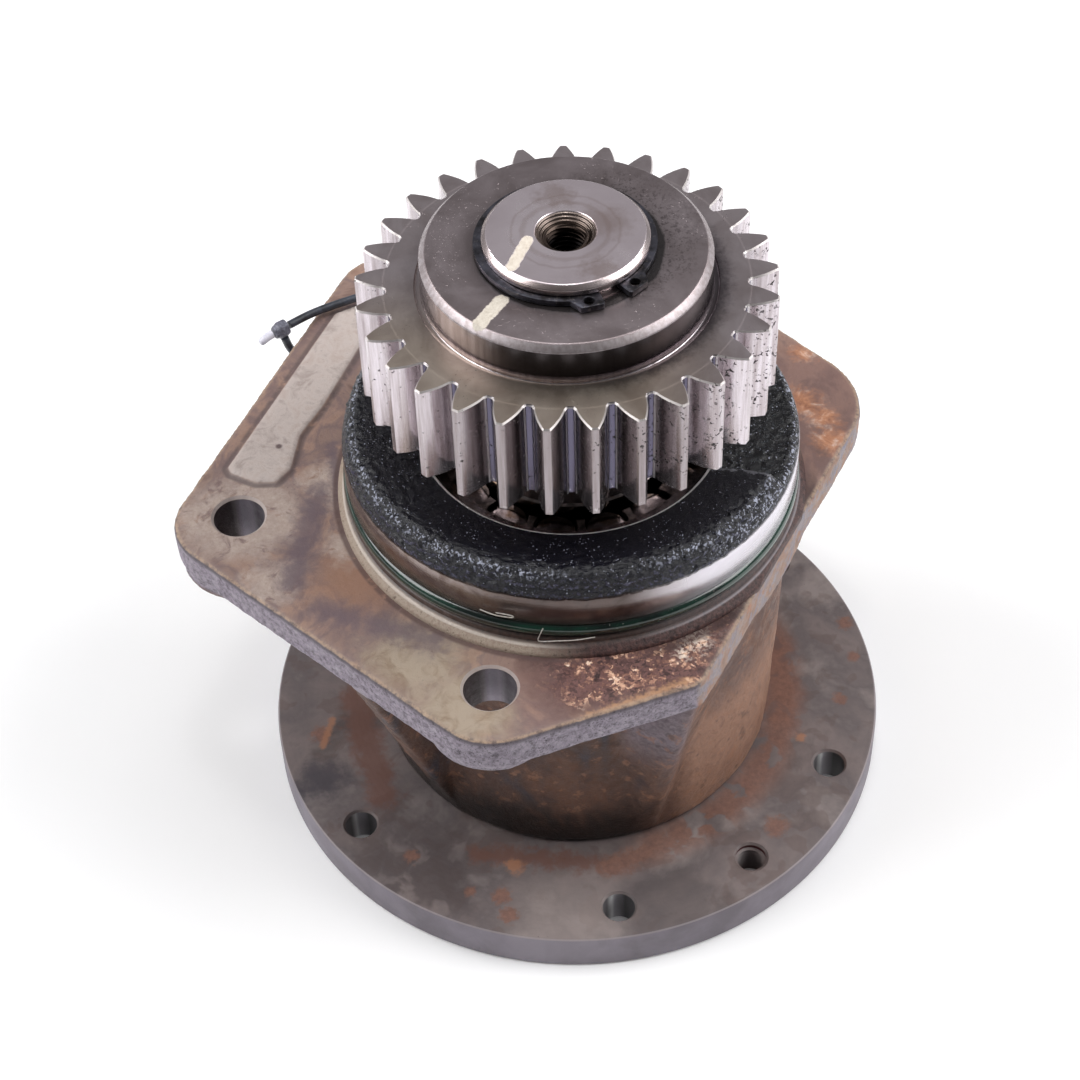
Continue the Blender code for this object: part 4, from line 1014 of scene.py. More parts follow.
def dark_spring_look():
    """Blackened spring steel, blue-grey where it is rubbed."""
    look = Look("blackened_spring_steel")
    fine = look.noise(0.9, 4, 0.7)
    broad = look.noise(5, 3, 0.6, seed=2)
    colour = look.ramp(broad, (0.38, 50, 48, 50), (0.62, 96, 96, 106))
    colour = look.tint(colour, (170, 160, 154), look.between(fine, 0.56, 0.7), 0.4)
    return look.finish(colour, look.mix(fine, 0.2, 0.42), 0.85, fine, 0.06)


def o_ring_look():
    """Dark green rubber, oily, with painted pale glints towards the right."""
    look = Look("green_elastomer")
    fine = look.noise(1.2, 4, 0.6)
    broad = look.noise(12, 3, 0.6, seed=3)
    colour = look.ramp(broad, (0.35, 8, 24, 20), (0.55, 18, 58, 44), (0.7, 10, 32, 27))
    # painted glints as pale dots on the O-ring's right-hand part
    scattered_dots = look.both(look.between(look.noise(0.5, 2, seed=8), 0.68, 0.72),
            look.between(look.x, -10, 20))
    colour = look.tint(colour, (206, 196, 188), scattered_dots, 0.8)
    return look.finish(colour, look.mix(fine, 0.1, 0.26), 0, fine, 0.06, coat=0.7)


def plain_looks():
    """Bearing steel, cages, black rubber, the tie's three plastics and the wire strands."""
    return {
        # bearing steel and cage are darker than bare steel: painted shade under the gear, over oil
        "bearing": plain_look(
            "shaded_oiled_bearing_steel",
            ((0.34, 60, 52, 48), (0.50, 112, 104, 102), (0.62, 84, 66, 50), (0.72, 48, 42, 40)),
            (0.06, 0.2), 1.0, 0.02, ((0.7, 3.0, 0.6, 4.0), (5.0, 4.0, 0.6, 0.0)), 0.4),
        "cage": plain_look("shaded_varnished_cage_steel", ((0.36, 44, 38, 36), (0.6, 98, 88, 82)),
                           (0.12, 0.3), 0.9, 0.04, ((0.6, 3.0, 0.6, 4.0), (4.0, 4.0, 0.6, 0.0)), 0.3),
        "rubber": plain_look("black_nitrile", ((0.35, 22, 21, 21), (0.65, 40, 38, 38)),
                             (0.4, 0.6), 0.0, 0.05, ((1.0, 4.0, 0.7, 0.0),)),
        "cord": plain_look("black_cord_plastic", ((0.38, 34, 35, 40), (0.62, 66, 70, 80)),
                           (0.3, 0.5), 0.0, 0.08, ((0.8, 4.0, 0.7, 0.0), (4.0, 3.0, 0.6, 5.0))),
        "lock": plain_look("grey_lock_plastic", ((0.35, 74, 74, 84), (0.65, 128, 128, 142)),
                           (0.3, 0.5), 0.0, 0.08, ((0.7, 4.0, 0.7, 0.0),)),
        "tip": plain_look("white_tip_plastic", ((0.35, 214, 212, 226), (0.65, 238, 237, 246)),
                          (0.3, 0.5), 0.0, 0.05, ((1.0, 4.0, 0.7, 0.0),)),
        "swarf": plain_look("wire_swarf", ((0.35, 176, 168, 158), (0.65, 226, 222, 216)),
                            (0.3, 0.5), 0.4, 0.03, ((0.8, 3.0, 0.6, 0.0),)),
    }


# ---------------------------------------------------------------- housing


def rounded_outline(edges, inset=0.0, steps=14):
    """Outline from straight edges and the corner radius that follows each of them."""
    points = []
    for (angle, reach, radius), (next_angle, next_reach, _) in zip(edges, edges[1:] + edges[:1]):
        turn = (next_angle - angle) % 360.0
        radius = max(radius - inset, 1.0)
        normal_a, normal_b = polar(1.0, angle), polar(1.0, next_angle)
        cross = normal_a[0] * normal_b[1] - normal_a[1] * normal_b[0]
        inner_a, inner_b = reach - inset - radius, next_reach - inset - radius
        centre = (
            (inner_a * normal_b[1] - inner_b * normal_a[1]) / cross,
            (inner_b * normal_a[0] - inner_a * normal_b[0]) / cross,
        )
        points += arc(centre, radius, angle, angle + turn, steps)
    return points


def edge_rib(angle, foot_reach, thickness):
    """Web in a radial plane from the plate's underside to the body's foot."""
    across = Vector((*polar(1.0, angle + 90.0), 0.0)) * (thickness / 2)
    along = Vector((*polar(1.0, angle), 0.0))
    corners = (
        (52.5, PLATE_BOTTOM + 3.0),
        (foot_reach, PLATE_BOTTOM + 3.0),
        (foot_reach, PLATE_BOTTOM - 1.5),
        (BODY_BOTTOM_RADIUS - 0.6, BODY_BOTTOM + 1.5),
        (52.5, BODY_BOTTOM + 1.5),
    )
    bm = bmesh.new()
    sides = []
    for sign in (-1.0, 1.0):
        sides.append([
            bm.verts.new(along * reach + across * sign + Vector((0.0, 0.0, z)))
            for reach, z in corners
        ])
    bm.faces.new(sides[0])
    bm.faces.new(sides[1])
    for i in range(len(corners)):
        j = (i + 1) % len(corners)
        bm.faces.new((sides[0][i], sides[0][j], sides[1][j], sides[1][i]))
    return bm


def buttress():
    """Wedge under the blunt corner: flush with the flat side above, lost in the body below."""
    tangent = polar(62.4, 331.4)
    top = [tangent, (tangent[0] * 0.8, tangent[1] * 0.8), (8.0, -52.0), (6.0, -59.0), (30.4, -71.6)]
    foot = [
        polar(BODY_BOTTOM_RADIUS - 0.4, -48.0),
        polar(52.5, -48.0),
        polar(52.5, -76.0),
        polar(BODY_BOTTOM_RADIUS - 0.4, -76.0),
        polar(BODY_BOTTOM_RADIUS + 0.3, -69.5),
    ]
    return stack([(foot, BODY_BOTTOM + 1.0), (top, PLATE_BOTTOM + 2.0)])


def lobe_layer():
    """Lower layer under the large lobe."""
    def outline(inset):
        flat, lobe, top_right = PLATE_EDGES[3], PLATE_EDGES[4], PLATE_EDGES[5]
        corner = rounded_outline((flat, lobe, top_right), inset)[:15]
        start = polar(flat[1] - inset, flat[0])
        end = polar(lobe[1] - inset, lobe[0] + 14.0)
        return [start] + corner + [end, polar(54.0, 60.0), polar(54.0, 10.0)]

    return stack([(outline(3.0), 86.0), (outline(0.9), PLATE_BOTTOM + 1.5)])


def distance_inside(points, outline):
    """How far each point lies inside a closed outline; negative outside."""
    nearest = np.full(len(points), 1e9)
    inside = np.zeros(len(points), bool)
    count = len(outline)
    for i in range(count):
        ax, ay = outline[i]
        bx, by = outline[(i + 1) % count]
        run = np.array((bx - ax, by - ay))
        rel = points[:, :2] - (ax, ay)
        t = np.clip(rel @ run / (run @ run), 0.0, 1.0)
        nearest = np.minimum(nearest, np.linalg.norm(rel - t[:, None] * run, axis=1))
        crosses = (ay > points[:, 1]) != (by > points[:, 1])
        slope = (bx - ax) * (points[:, 1] - ay) / (by - ay + 1e-12) + ax
        inside ^= crosses & (points[:, 0] < slope)
    return np.where(inside, nearest, -nearest)


def pad_outline():
    """Machined pad along the flange's long edge, in steps along that edge's normal and run."""
    out = polar(1.0, PAD_EDGE_ANGLE)
    along = polar(1.0, PAD_EDGE_ANGLE + 90.0)
    corners = ((90.4, 32.0), (88.6, 33.6), (80.5, 34.2), (75.0, 31.8), (73.6, 26.0),
               (77.2, 13.0), (76.4, 0.0), (78.0, -40.0), (86.0, -42.0), (90.6, -36.0))
    return [
        (out[0] * reach + along[0] * run, out[1] * reach + along[1] * run)
        for reach, run in corners
    ]


def bore_tool():
    """Everything turned out of the inside of the housing."""
    lower_seat = reach_of("lower_outer_ring") + CLEARANCE
    upper_seat = reach_of("upper_outer_ring") + CLEARANCE
    shelf = top_of("lower_outer_ring") + CLEARANCE
    return lathe([
        (0.0, BODY_BOTTOM - 5.0),
        (lower_seat + 1.0, BODY_BOTTOM - 5.0),
        (lower_seat + 1.0, BODY_BOTTOM),
        (lower_seat, BODY_BOTTOM + 1.0),
        (lower_seat, 25.0),
        (lower_seat + 2.4, 25.0),
        (lower_seat + 2.4, 28.3),
        (lower_seat, 28.3),
        (lower_seat, shelf),
        (46.0, shelf),
        (46.0, 96.0),
        (upper_seat, 98.0),
        (upper_seat, PLATE_TOP + 10.0),
        (0.0, PLATE_TOP + 10.0),
    ], 144)


def build_casting(material):
    """Flange, body, ribs and buttress, fused and softened like a sand casting, then bored."""
    body = lathe(rounded([
        (0.0, BODY_BOTTOM, 0.0),
        (BODY_BOTTOM_RADIUS, BODY_BOTTOM, 0.8),
        (BODY_TOP_RADIUS - 0.4, PLATE_BOTTOM - 7.0, 0.0),
        (BODY_TOP_RADIUS + 1.0, PLATE_BOTTOM - 2.6, 3.0),
        (BODY_TOP_RADIUS + 4.5, PLATE_BOTTOM + 1.0, 3.0),
        (BODY_TOP_RADIUS + 3.0, PLATE_TOP - 2.0, 0.0),
        (0.0, PLATE_TOP - 2.0, 0.0),
    ]), 144)
    soft_edge = rounded_outline(PLATE_EDGES, 0.9)
    parts = [
        body,
        stack([(soft_edge, PLATE_BOTTOM), (rounded_outline(PLATE_EDGES), PLATE_BOTTOM + 1.0),
               (rounded_outline(PLATE_EDGES), PLATE_TOP - 0.6), (soft_edge, PLATE_TOP)]),
        edge_rib(226.5, 85.4, 8.0),
        edge_rib(80.0, 84.0, 8.0),
        buttress(),
        lobe_layer(),
    ]
    for x, y, level in BOLT_HOLES:
        parts.append(stack([(circle(BOSS_RADIUS - 0.8, 40, (x, y)), level),
                            (circle(BOSS_RADIUS, 40, (x, y)), level + 1.2),
                            (circle(BOSS_RADIUS, 40, (x, y)), PLATE_BOTTOM + 4.0)]))
    casting = make_object("housing_casting", gather(parts))
    remesh = casting.modifiers.new("fuse", "REMESH")
    remesh.mode = "VOXEL"
    remesh.voxel_size = CASTING_VOXEL * MM
    soften = casting.modifiers.new("soften", "SMOOTH")
    soften.factor = 0.5
    soften.iterations = 5
    bake_modifiers(casting)
    points = read_points(casting)
    normals = point_normals(casting)
    on_top = ease(normals[:, 2], 0.7, 0.95) * ease(points[:, 2], PLATE_TOP - 2.0, PLATE_TOP - 1.0)
    lumps = grain(points, 11.0, 3) * 0.22
    crust = grain(points, 2.6, 3, 5.0) * 0.11
    push = (lumps + crust) * (1.0 - 0.72 * on_top)
    points += normals * push[:, None]
    inside = distance_inside(points, pad_outline())
    points[:, 2] += 0.95 * ease(inside, -0.5, 0.7) * on_top
    # the flat side is milled through flange and buttress alike
    out = np.array(polar(1.0, FLAT_ANGLE))
    overshoot = np.maximum(points[:, :2] @ out - FLAT_REACH - 0.05, 0.0)
    points[:, :2] -= overshoot[:, None] * out
    write_points(casting, points)
    holes = [bore_tool()]
    for x, y, level in BOLT_HOLES:
        tool = lathe([(0.0, level - 6.0), (BOLT_HOLE_RADIUS, level - 6.0),
                      (BOLT_HOLE_RADIUS, PLATE_TOP - 0.7), (BOLT_HOLE_RADIUS + 0.8, PLATE_TOP + 0.1),
                      (BOLT_HOLE_RADIUS + 2.0, PLATE_TOP + 4.0), (0.0, PLATE_TOP + 4.0)], 64)
        bmesh.ops.translate(tool, vec=Vector((x, y, 0.0)), verts=tool.verts)
        holes.append(tool)
    cut(casting, gather(holes), solver="MANIFOLD", crease=42.0)
    points = read_points(casting)
    for name, outline in (("inset", rounded_outline(PLATE_EDGES)), ("pad", pad_outline())):
        layer = casting.data.attributes.new(name, "FLOAT", "POINT")
        layer.data.foreach_set("value", distance_inside(points, outline))
    return place(casting, "housing", "housing_cast_iron", material, "bearing_housing")


def spigot_profile(full):
    """Outer profile from the shoulder up, over the rim and down to the lip."""
    o_ring_z = (foot_of("spigot_o_ring") + top_of("spigot_o_ring")) / 2
    groove = 2.5
    low = [
        (SHOULDER_RADIUS, PLATE_TOP - 1.0),
        (SHOULDER_RADIUS, PLATE_TOP + 0.9),
        (SHOULDER_RADIUS - 0.5, PLATE_TOP + 1.4),
        (SPIGOT_RADIUS + 0.7, PLATE_TOP + 2.9),
        (SPIGOT_RADIUS, PLATE_TOP + 3.3),
        (SPIGOT_RADIUS, o_ring_z - groove - 0.4),
        (SPIGOT_RADIUS - 0.4, o_ring_z - groove),
        (SPIGOT_RADIUS - 4.0, o_ring_z - groove),
        (SPIGOT_RADIUS - 4.0, o_ring_z + groove),
        (SPIGOT_RADIUS - 0.4, o_ring_z + groove),
        (SPIGOT_RADIUS, o_ring_z + groove + 0.4),
        (SPIGOT_RADIUS, ROUGH_FROM - 0.2),
        (SPIGOT_RADIUS - 0.15, ROUGH_FROM),
    ]
    if full:
        wall = [(61.3, 125.4), (60.5, 126.9), (60.6, 127.7), (60.0, 129.0), (58.9, 130.4),
                (57.4, SPIGOT_TOP), (55.6, SPIGOT_TOP - 0.2)]
        slope = [(52.5, 130.2), (48.0, 128.8), (44.0, 127.4), (LIP_RADIUS + 1.0, LIP_TOP + 0.5)]
    else:
        wall = [(61.5, 124.5), (61.1, 125.1), (60.9, 125.5), (60.5, 125.9), (60.0, 126.2),
                (59.2, 126.4), (58.0, 126.3)]
        slope = [(54.0, 126.1), (49.0, 126.0), (45.0, 126.0), (LIP_RADIUS + 1.0, LIP_TOP)]
    return low, wall, slope


def paired(path_a, path_b, gap):
    """Two paths of equal knots, densified alike."""
    dense_a, dense_b = [], []
    for (a0, a1), (b0, b1) in zip(zip(path_a, path_a[1:]), zip(path_b, path_b[1:])):
        length = max(math.dist(a0, a1), math.dist(b0, b1))
        steps = max(1, math.ceil(length / gap))
        for i in range(steps):
            t = i / steps
            dense_a.append((a0[0] + (a1[0] - a0[0]) * t, a0[1] + (a1[1] - a0[1]) * t))
            dense_b.append((b0[0] + (b1[0] - b0[0]) * t, b0[1] + (b1[1] - b0[1]) * t))
    dense_a.append(path_a[-1])
    dense_b.append(path_b[-1])
    return np.array(dense_a), np.array(dense_b)


def build_spigot(material):
    """Turned pilot spigot whose rough cast rim is missing over one sector."""
    low, wall, slope = spigot_profile(True)
    _, pocket_wall, pocket_slope = spigot_profile(False)
    rim, pocket = paired([low[-1]] + wall + slope, [low[-1]] + pocket_wall + pocket_slope, 0.5)
    upper_seat = reach_of("upper_outer_ring") + CLEARANCE
    shelf = top_of("upper_outer_ring") + CLEARANCE
    inner = [
        (LIP_RADIUS + 0.35, LIP_TOP + 0.1),
        (LIP_RADIUS, LIP_TOP - 0.4),
        (LIP_RADIUS, shelf + 0.4),
        (LIP_RADIUS + 0.4, shelf),
        (upper_seat, shelf),
        (upper_seat, PLATE_TOP - 3.0),
        (SHOULDER_RADIUS - 2.0, PLATE_TOP - 3.0),
    ]
    start = np.array(low[:-1])
    end = np.array(inner)
    degrees = 360.0 * np.arange(SPIGOT_SEGMENTS) / SPIGOT_SEGMENTS
    signed = (degrees + 180.0) % 360.0 - 180.0
    share = ease(signed, POCKET_ANGLES[0] - 1.0, POCKET_ANGLES[0] + 2.0)
    share = share * (1.0 - ease(signed, POCKET_ANGLES[1] - 2.0, POCKET_ANGLES[1] + 2.0))
    columns = []
    for angle, part in zip(degrees, share):
        middle = rim * (1.0 - part) + pocket * part
        column = np.vstack((start, middle, end))
        radians = math.radians(angle)
        columns.append(np.column_stack((
            column[:, 0] * math.cos(radians), column[:, 0] * math.sin(radians), column[:, 1])))
    grid = np.array(columns)
    rows = grid.shape[1]
    bm = bmesh.new()
    verts = [bm.verts.new(point) for point in grid.reshape(-1, 3)]
    for i in range(SPIGOT_SEGMENTS):
        here, there = i * rows, (i + 1) % SPIGOT_SEGMENTS * rows
        for j in range(rows):
            k = (j + 1) % rows
            bm.faces.new([verts[corner] for corner in (here + j, there + j, there + k, here + k)])
    spigot = make_object("housing_spigot", bm, 50.0)
    points = read_points(spigot)
    normals = point_normals(spigot)
    radius = np.hypot(points[:, 0], points[:, 1])
    angle = np.degrees(np.arctan2(points[:, 1], points[:, 0]))
    rough = ease(points[:, 2], ROUGH_FROM - 0.1, ROUGH_FROM + 1.0) * ease(radius, 40.8, 43.5)
    smooth_front = (1.0 - ease(radius, 53.0, 57.0)) * ease(angle, -150.0, -135.0)
    smooth_front *= 1.0 - ease(angle, -32.0, -26.0)
    amount = rough * (1.0 - 0.85 * smooth_front)
    crest = ease(radius, 54.0, 57.5) * ease(points[:, 2], ROUGH_FROM + 1.5, SPIGOT_TOP - 2.5)
    push = grain(points, 1.8, 3, 3.0) * (0.34 + 0.45 * crest) + grain(points, 6.0, 2, 8.0) * 0.30
    points += normals * (push * amount)[:, None]
    out = np.array(polar(1.0, FLAT_ANGLE))
    overshoot = np.maximum(points[:, :2] @ out - FLAT_REACH, 0.0)
    points[:, :2] -= overshoot[:, None] * out
    write_points(spigot, points)
    return place(spigot, "housing", "housing_cast_iron", material)


def build_o_ring(material):
    """O-ring that stands slightly proud of its groove."""
    lo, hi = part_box("spigot_o_ring")
    section = (hi.z - lo.z) / 2 / MM
    centre = hi.x / MM - section
    middle = (hi.z + lo.z) / 2 / MM
    ring = make_object("spigot_o_ring_fine", lathe(circle(section, 20, (centre, middle)), 256))
    return place(ring, "housing", "green_rubber", material, "spigot_o_ring")


# ---------------------------------------------------------------- shaft, gear and circlip


def helix_thread(centre, radius, bottom, top, pitch, depth, per_turn=28):
    """Internal thread: a triangular ridge that winds up a hole and stands inwards."""
    bm = bmesh.new()
    turns = (top - bottom) / pitch
    steps = int(turns * per_turn)
    rings = []
    for i in range(steps + 1):
        angle = 360.0 * i / per_turn
        z = bottom + pitch * i / per_turn
        taper = min(1.0, i / 6.0, (steps - i) / 6.0) * depth + 0.02
        ring = []
        for reach, dz in ((radius + 0.25, -0.42 * pitch), (radius - taper, 0.0),
                          (radius + 0.25, 0.42 * pitch)):
            x, y = polar(reach, angle)
            ring.append(bm.verts.new((centre[0] + x, centre[1] + y, z + dz)))
        rings.append(ring)
    for a, b in zip(rings, rings[1:]):
        for k in range(3):
            m = (k + 1) % 3
            bm.faces.new((a[k], a[m], b[m], b[k]))
    bm.faces.new(rings[0])
    bm.faces.new(rings[-1])
    return bm


def build_shaft(material):
    """Shaft and drive flange in one, with chamfered holes."""
    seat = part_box("lower_inner_ring")
    lower_bottom, lower_top = seat[0].z / MM, seat[1].z / MM
    upper_top = top_of("upper_inner_ring")
    profile = rounded([
        (0.0, 0.0, 0.0),
        (28.0, 0.0, 0.3),
        (29.0, 1.2, 0.3),
        (66.0, 1.2, 0.3),
        (67.0, 0.0, 0.3),
        (DISC_RADIUS, 0.0, 1.0),
        (DISC_RADIUS, DISC_THICKNESS, 1.1),
        (36.5, DISC_THICKNESS, 0.0),
        (SEAL_SEAT_RADIUS, DISC_THICKNESS + 1.5, 0.5),
        (SEAL_SEAT_RADIUS, lower_bottom - CLEARANCE, 0.5),
        (LOWER_SEAT_RADIUS, lower_bottom - CLEARANCE, 0.0),
        (LOWER_SEAT_RADIUS, lower_top, 0.5),
        (UPPER_SEAT_RADIUS, lower_top, 0.0),
        (UPPER_SEAT_RADIUS, upper_top, 0.4),
        (SHAFT_END_RADIUS, upper_top, 0.0),
        (SHAFT_END_RADIUS, HUB_TOP, 0.0),
        (CIRCLIP_GROOVE_RADIUS, HUB_TOP, 0.0),
        (CIRCLIP_GROOVE_RADIUS, CIRCLIP_TOP + CLEARANCE, 0.0),
        (SHAFT_END_RADIUS, CIRCLIP_TOP + CLEARANCE, 0.15),
        (SHAFT_END_RADIUS, SHAFT_TOP - 1.2, 0.25),
        (SHAFT_END_RADIUS - 1.3, SHAFT_TOP, 0.25),
        (0.0, SHAFT_TOP, 0.0),
    ])
    shaft = make_object("output_shaft_fine", lathe(profile, 256), 30.0)
    tools = [lathe([
        (0.0, SHAFT_TOP - 32.5),
        (CENTRE_THREAD_RADIUS, SHAFT_TOP - 30.0),
        (CENTRE_THREAD_RADIUS, SHAFT_TOP - 2.3),
        (CENTRE_MOUTH_RADIUS - 0.2, SHAFT_TOP - 0.3),
        (CENTRE_MOUTH_RADIUS + 0.9, SHAFT_TOP + 0.8),
        (0.0, SHAFT_TOP + 0.8),
    ], 96)]
    spots = [(FIRST_HOLE_ANGLE + 60.0 * i, CLEAR_HOLE_RADIUS) for i in range(6)]
    spots += [(angle, JACK_HOLE_RADIUS + 0.3) for angle in JACK_HOLE_ANGLES]
    for angle, radius in spots:
        tool = lathe([(0.0, -2.0), (radius + 2.5, -2.0), (radius, 0.6),
                      (radius, DISC_THICKNESS - 0.6), (radius + 2.6, DISC_THICKNESS + 2.0),
                      (0.0, DISC_THICKNESS + 2.0)], 48)
        centre = polar(HOLE_CIRCLE, angle)
        bmesh.ops.translate(tool, vec=Vector((*centre, 0.0)), verts=tool.verts)
        tools.append(tool)
    cut(shaft, gather(tools), crease=30.0)
    place(shaft, "rotor", "flange_steel", material, "output_shaft")
    threads = [helix_thread((0.0, 0.0), CENTRE_THREAD_RADIUS, SHAFT_TOP - 29.0, SHAFT_TOP - 1.9,
                            THREAD_PITCH, 0.8, 48)]
    for angle in JACK_HOLE_ANGLES:
        centre = polar(HOLE_CIRCLE, angle)
        threads.append(helix_thread(centre, JACK_HOLE_RADIUS + 0.3, 0.9,
                                    DISC_THICKNESS - 0.9, THREAD_PITCH, 0.7))
    for name, thread in zip(("shaft_end_thread", "jack_thread_left", "jack_thread_right"), threads):
        place(make_object(name, thread, 20.0), "rotor", "flange_steel", material)


def involute(angle):
    return math.tan(angle) - angle


def tooth_outline(shrink=0.0):
    """Gear outline: rounded roots, involute flanks and eased tips; shrink pulls it all in."""
    pitch = MODULE * TEETH / 2
    base = pitch * math.cos(PRESSURE_ANGLE)
    half_at_base = math.pi / (2 * TEETH) + involute(PRESSURE_ANGLE)
    side = [
        (ROOT_RADIUS, half_at_base * 1.17),
        (ROOT_RADIUS + 0.14, half_at_base * 1.09),
        (ROOT_RADIUS + 0.5, half_at_base * 1.03),
    ]
    steps = 9
    start, end = ROOT_RADIUS + 1.0, TIP_RADIUS - 0.2
    for step in range(steps + 1):
        radius = start + (end - start) * step / steps
        side.append((radius, half_at_base - involute(math.acos(base / radius))))
    side.append((TIP_RADIUS, side[-1][1] - 0.2 / TIP_RADIUS))
    # lowering a point on the flank already moves it inwards, hence less than the full shrink
    side = [
        (radius - shrink, half - (0.55 * shrink / radius if index else 0.0))
        for index, (radius, half) in enumerate(side)
    ]
    points = []
    for tooth in range(TEETH):
        centre = TOOTH_PHASE + 2 * math.pi * tooth / TEETH
        for radius, half in side:
            points.append((radius * math.cos(centre - half), radius * math.sin(centre - half)))
        for radius, half in reversed(side):
            points.append((radius * math.cos(centre + half), radius * math.sin(centre + half)))
    return points


def build_gear(material):
    """Spur gear with chamfered tooth ends, raised hub and a groove at the hub's foot."""
    full = tooth_outline()
    eased = tooth_outline(0.38)
    blunt = tooth_outline(0.7)
    teeth = stack([(blunt, GEAR_BOTTOM), (full, GEAR_BOTTOM + 0.8),
                   (full, GEAR_TOP - 0.45), (eased, GEAR_TOP)])
    gear = make_object("drive_gear_fine", teeth, 24.0)
    hub = lathe(rounded([
        (0.0, foot_of("drive_gear"), 0.0),
        (GEAR_NOSE_RADIUS, foot_of("drive_gear"), 0.6),
        (GEAR_NOSE_RADIUS, 138.0, 1.0),
        (GEAR_NOSE_RADIUS + 5.0, 144.0, 2.0),
        (GEAR_NOSE_RADIUS + 5.0, GEAR_BOTTOM + 5.0, 0.0),
        (HUB_RADIUS - 2.0, GEAR_TOP - 5.0, 0.0),
        (HUB_RADIUS, GEAR_TOP - 3.0, 0.0),
        (HUB_RADIUS, HUB_TOP - 1.8, 0.3),
        (HUB_RADIUS - 1.6, HUB_TOP, 0.3),
        (0.0, HUB_TOP, 0.0),
    ]), 192)
    cut(gear, hub, "UNION", crease=24.0)
    groove = lathe(rounded([
        (HUB_RADIUS + 0.02, GEAR_TOP + 0.6, 0.0),
        (HUB_RADIUS + 0.02, GEAR_TOP - 0.9, 0.5),
        (HUB_RADIUS + 1.5, GEAR_TOP - 0.9, 0.5),
        (HUB_RADIUS + 1.9, GEAR_TOP + 0.6, 0.0),
    ]), 192)
    cut(gear, groove, crease=24.0)
    bore = lathe([(0.0, 115.0), (SHAFT_END_RADIUS + 0.12, 115.0),
                  (SHAFT_END_RADIUS + 0.12, HUB_TOP - 0.5), (SHAFT_END_RADIUS + 0.8, HUB_TOP + 0.1),
                  (SHAFT_END_RADIUS + 2.0, HUB_TOP + 3.0), (0.0, HUB_TOP + 3.0)], 192)
    cut(gear, bore, crease=24.0)
    return place(gear, "rotor", "gear_steel", material, "drive_gear")


def circlip_outline():
    """Tapered open ring with two square-shouldered plier lugs."""
    lug = ((28.0, 22.7), (22.5, 25.3), (21.5, 25.6), (9.0, 25.6), (8.0, 25.0), (7.6, 21.8))
    steps = 90
    turn = 360.0 - 2 * lug[0][0]
    points = []
    for i in range(steps + 1):
        share = i / steps
        reach = lug[0][1] + 0.9 * math.sin(math.pi * share)
        points.append(polar(reach, CIRCLIP_GAP_ANGLE + lug[0][0] + turn * share))
    points += [polar(reach, CIRCLIP_GAP_ANGLE - angle) for angle, reach in lug[1:]]
    gap = lug[-1][0] + 0.3
    for i in range(steps + 1):
        points.append(polar(CIRCLIP_INNER_RADIUS, CIRCLIP_GAP_ANGLE - gap - (360.0 - 2 * gap) * i / steps))
    points += [polar(reach, CIRCLIP_GAP_ANGLE + angle) for angle, reach in lug[:0:-1]]
    return points


def build_circlip(material):
    clip = make_object("gear_circlip_fine", prism(circlip_outline(), CIRCLIP_BOTTOM, CIRCLIP_TOP))
    holes = []
    for sign in (-1, 1):
        centre = polar(LUG_HOLE_CIRCLE, CIRCLIP_GAP_ANGLE + sign * LUG_HOLE_ANGLE)
        holes.append(prism(circle(LUG_HOLE_RADIUS, 24, centre), CIRCLIP_BOTTOM - 1.0,
                           CIRCLIP_TOP + 1.0))
    cut(clip, gather(holes))
    bevel = clip.modifiers.new("ease", "BEVEL")
    bevel.width = 0.18 * MM
    bevel.segments = 2
    bevel.limit_method = "ANGLE"
    bake_modifiers(clip, 30.0)
    return place(clip, "rotor", "spring_steel", material, "gear_circlip")


# ---------------------------------------------------------------- upper bearing


def build_rollers(material):
    """Rollers with eased ends on the CAD rollers' axes."""
    for index in range(1, ROLLERS + 1):
        node = f"roller_{index:02d}"
        lo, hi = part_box(node)
        half = (hi.z - lo.z) / 2 / MM
        middle = (lo + hi) / 2 / MM
        roller = lathe(rounded([
            (0.0, -half, 0.0),
            (ROLLER_RADIUS - 2.4, -half, 0.3),
            (ROLLER_RADIUS - 0.2, -half + 0.15, 0.4),
            (ROLLER_RADIUS, -half + 0.9, 0.5),
            (ROLLER_RADIUS, half - 0.9, 0.5),
            (ROLLER_RADIUS - 0.2, half - 0.15, 0.4),
            (ROLLER_RADIUS - 2.4, half, 0.3),
            (0.0, half, 0.0),
        ]), 40)
        bmesh.ops.translate(roller, vec=middle, verts=roller.verts)
        piece = make_object(node + "_fine", roller, 30.0)
        place(piece, "roller_complement", "bearing_steel", material, node)


# ---------------------------------------------------------------- tag tie and loose bits


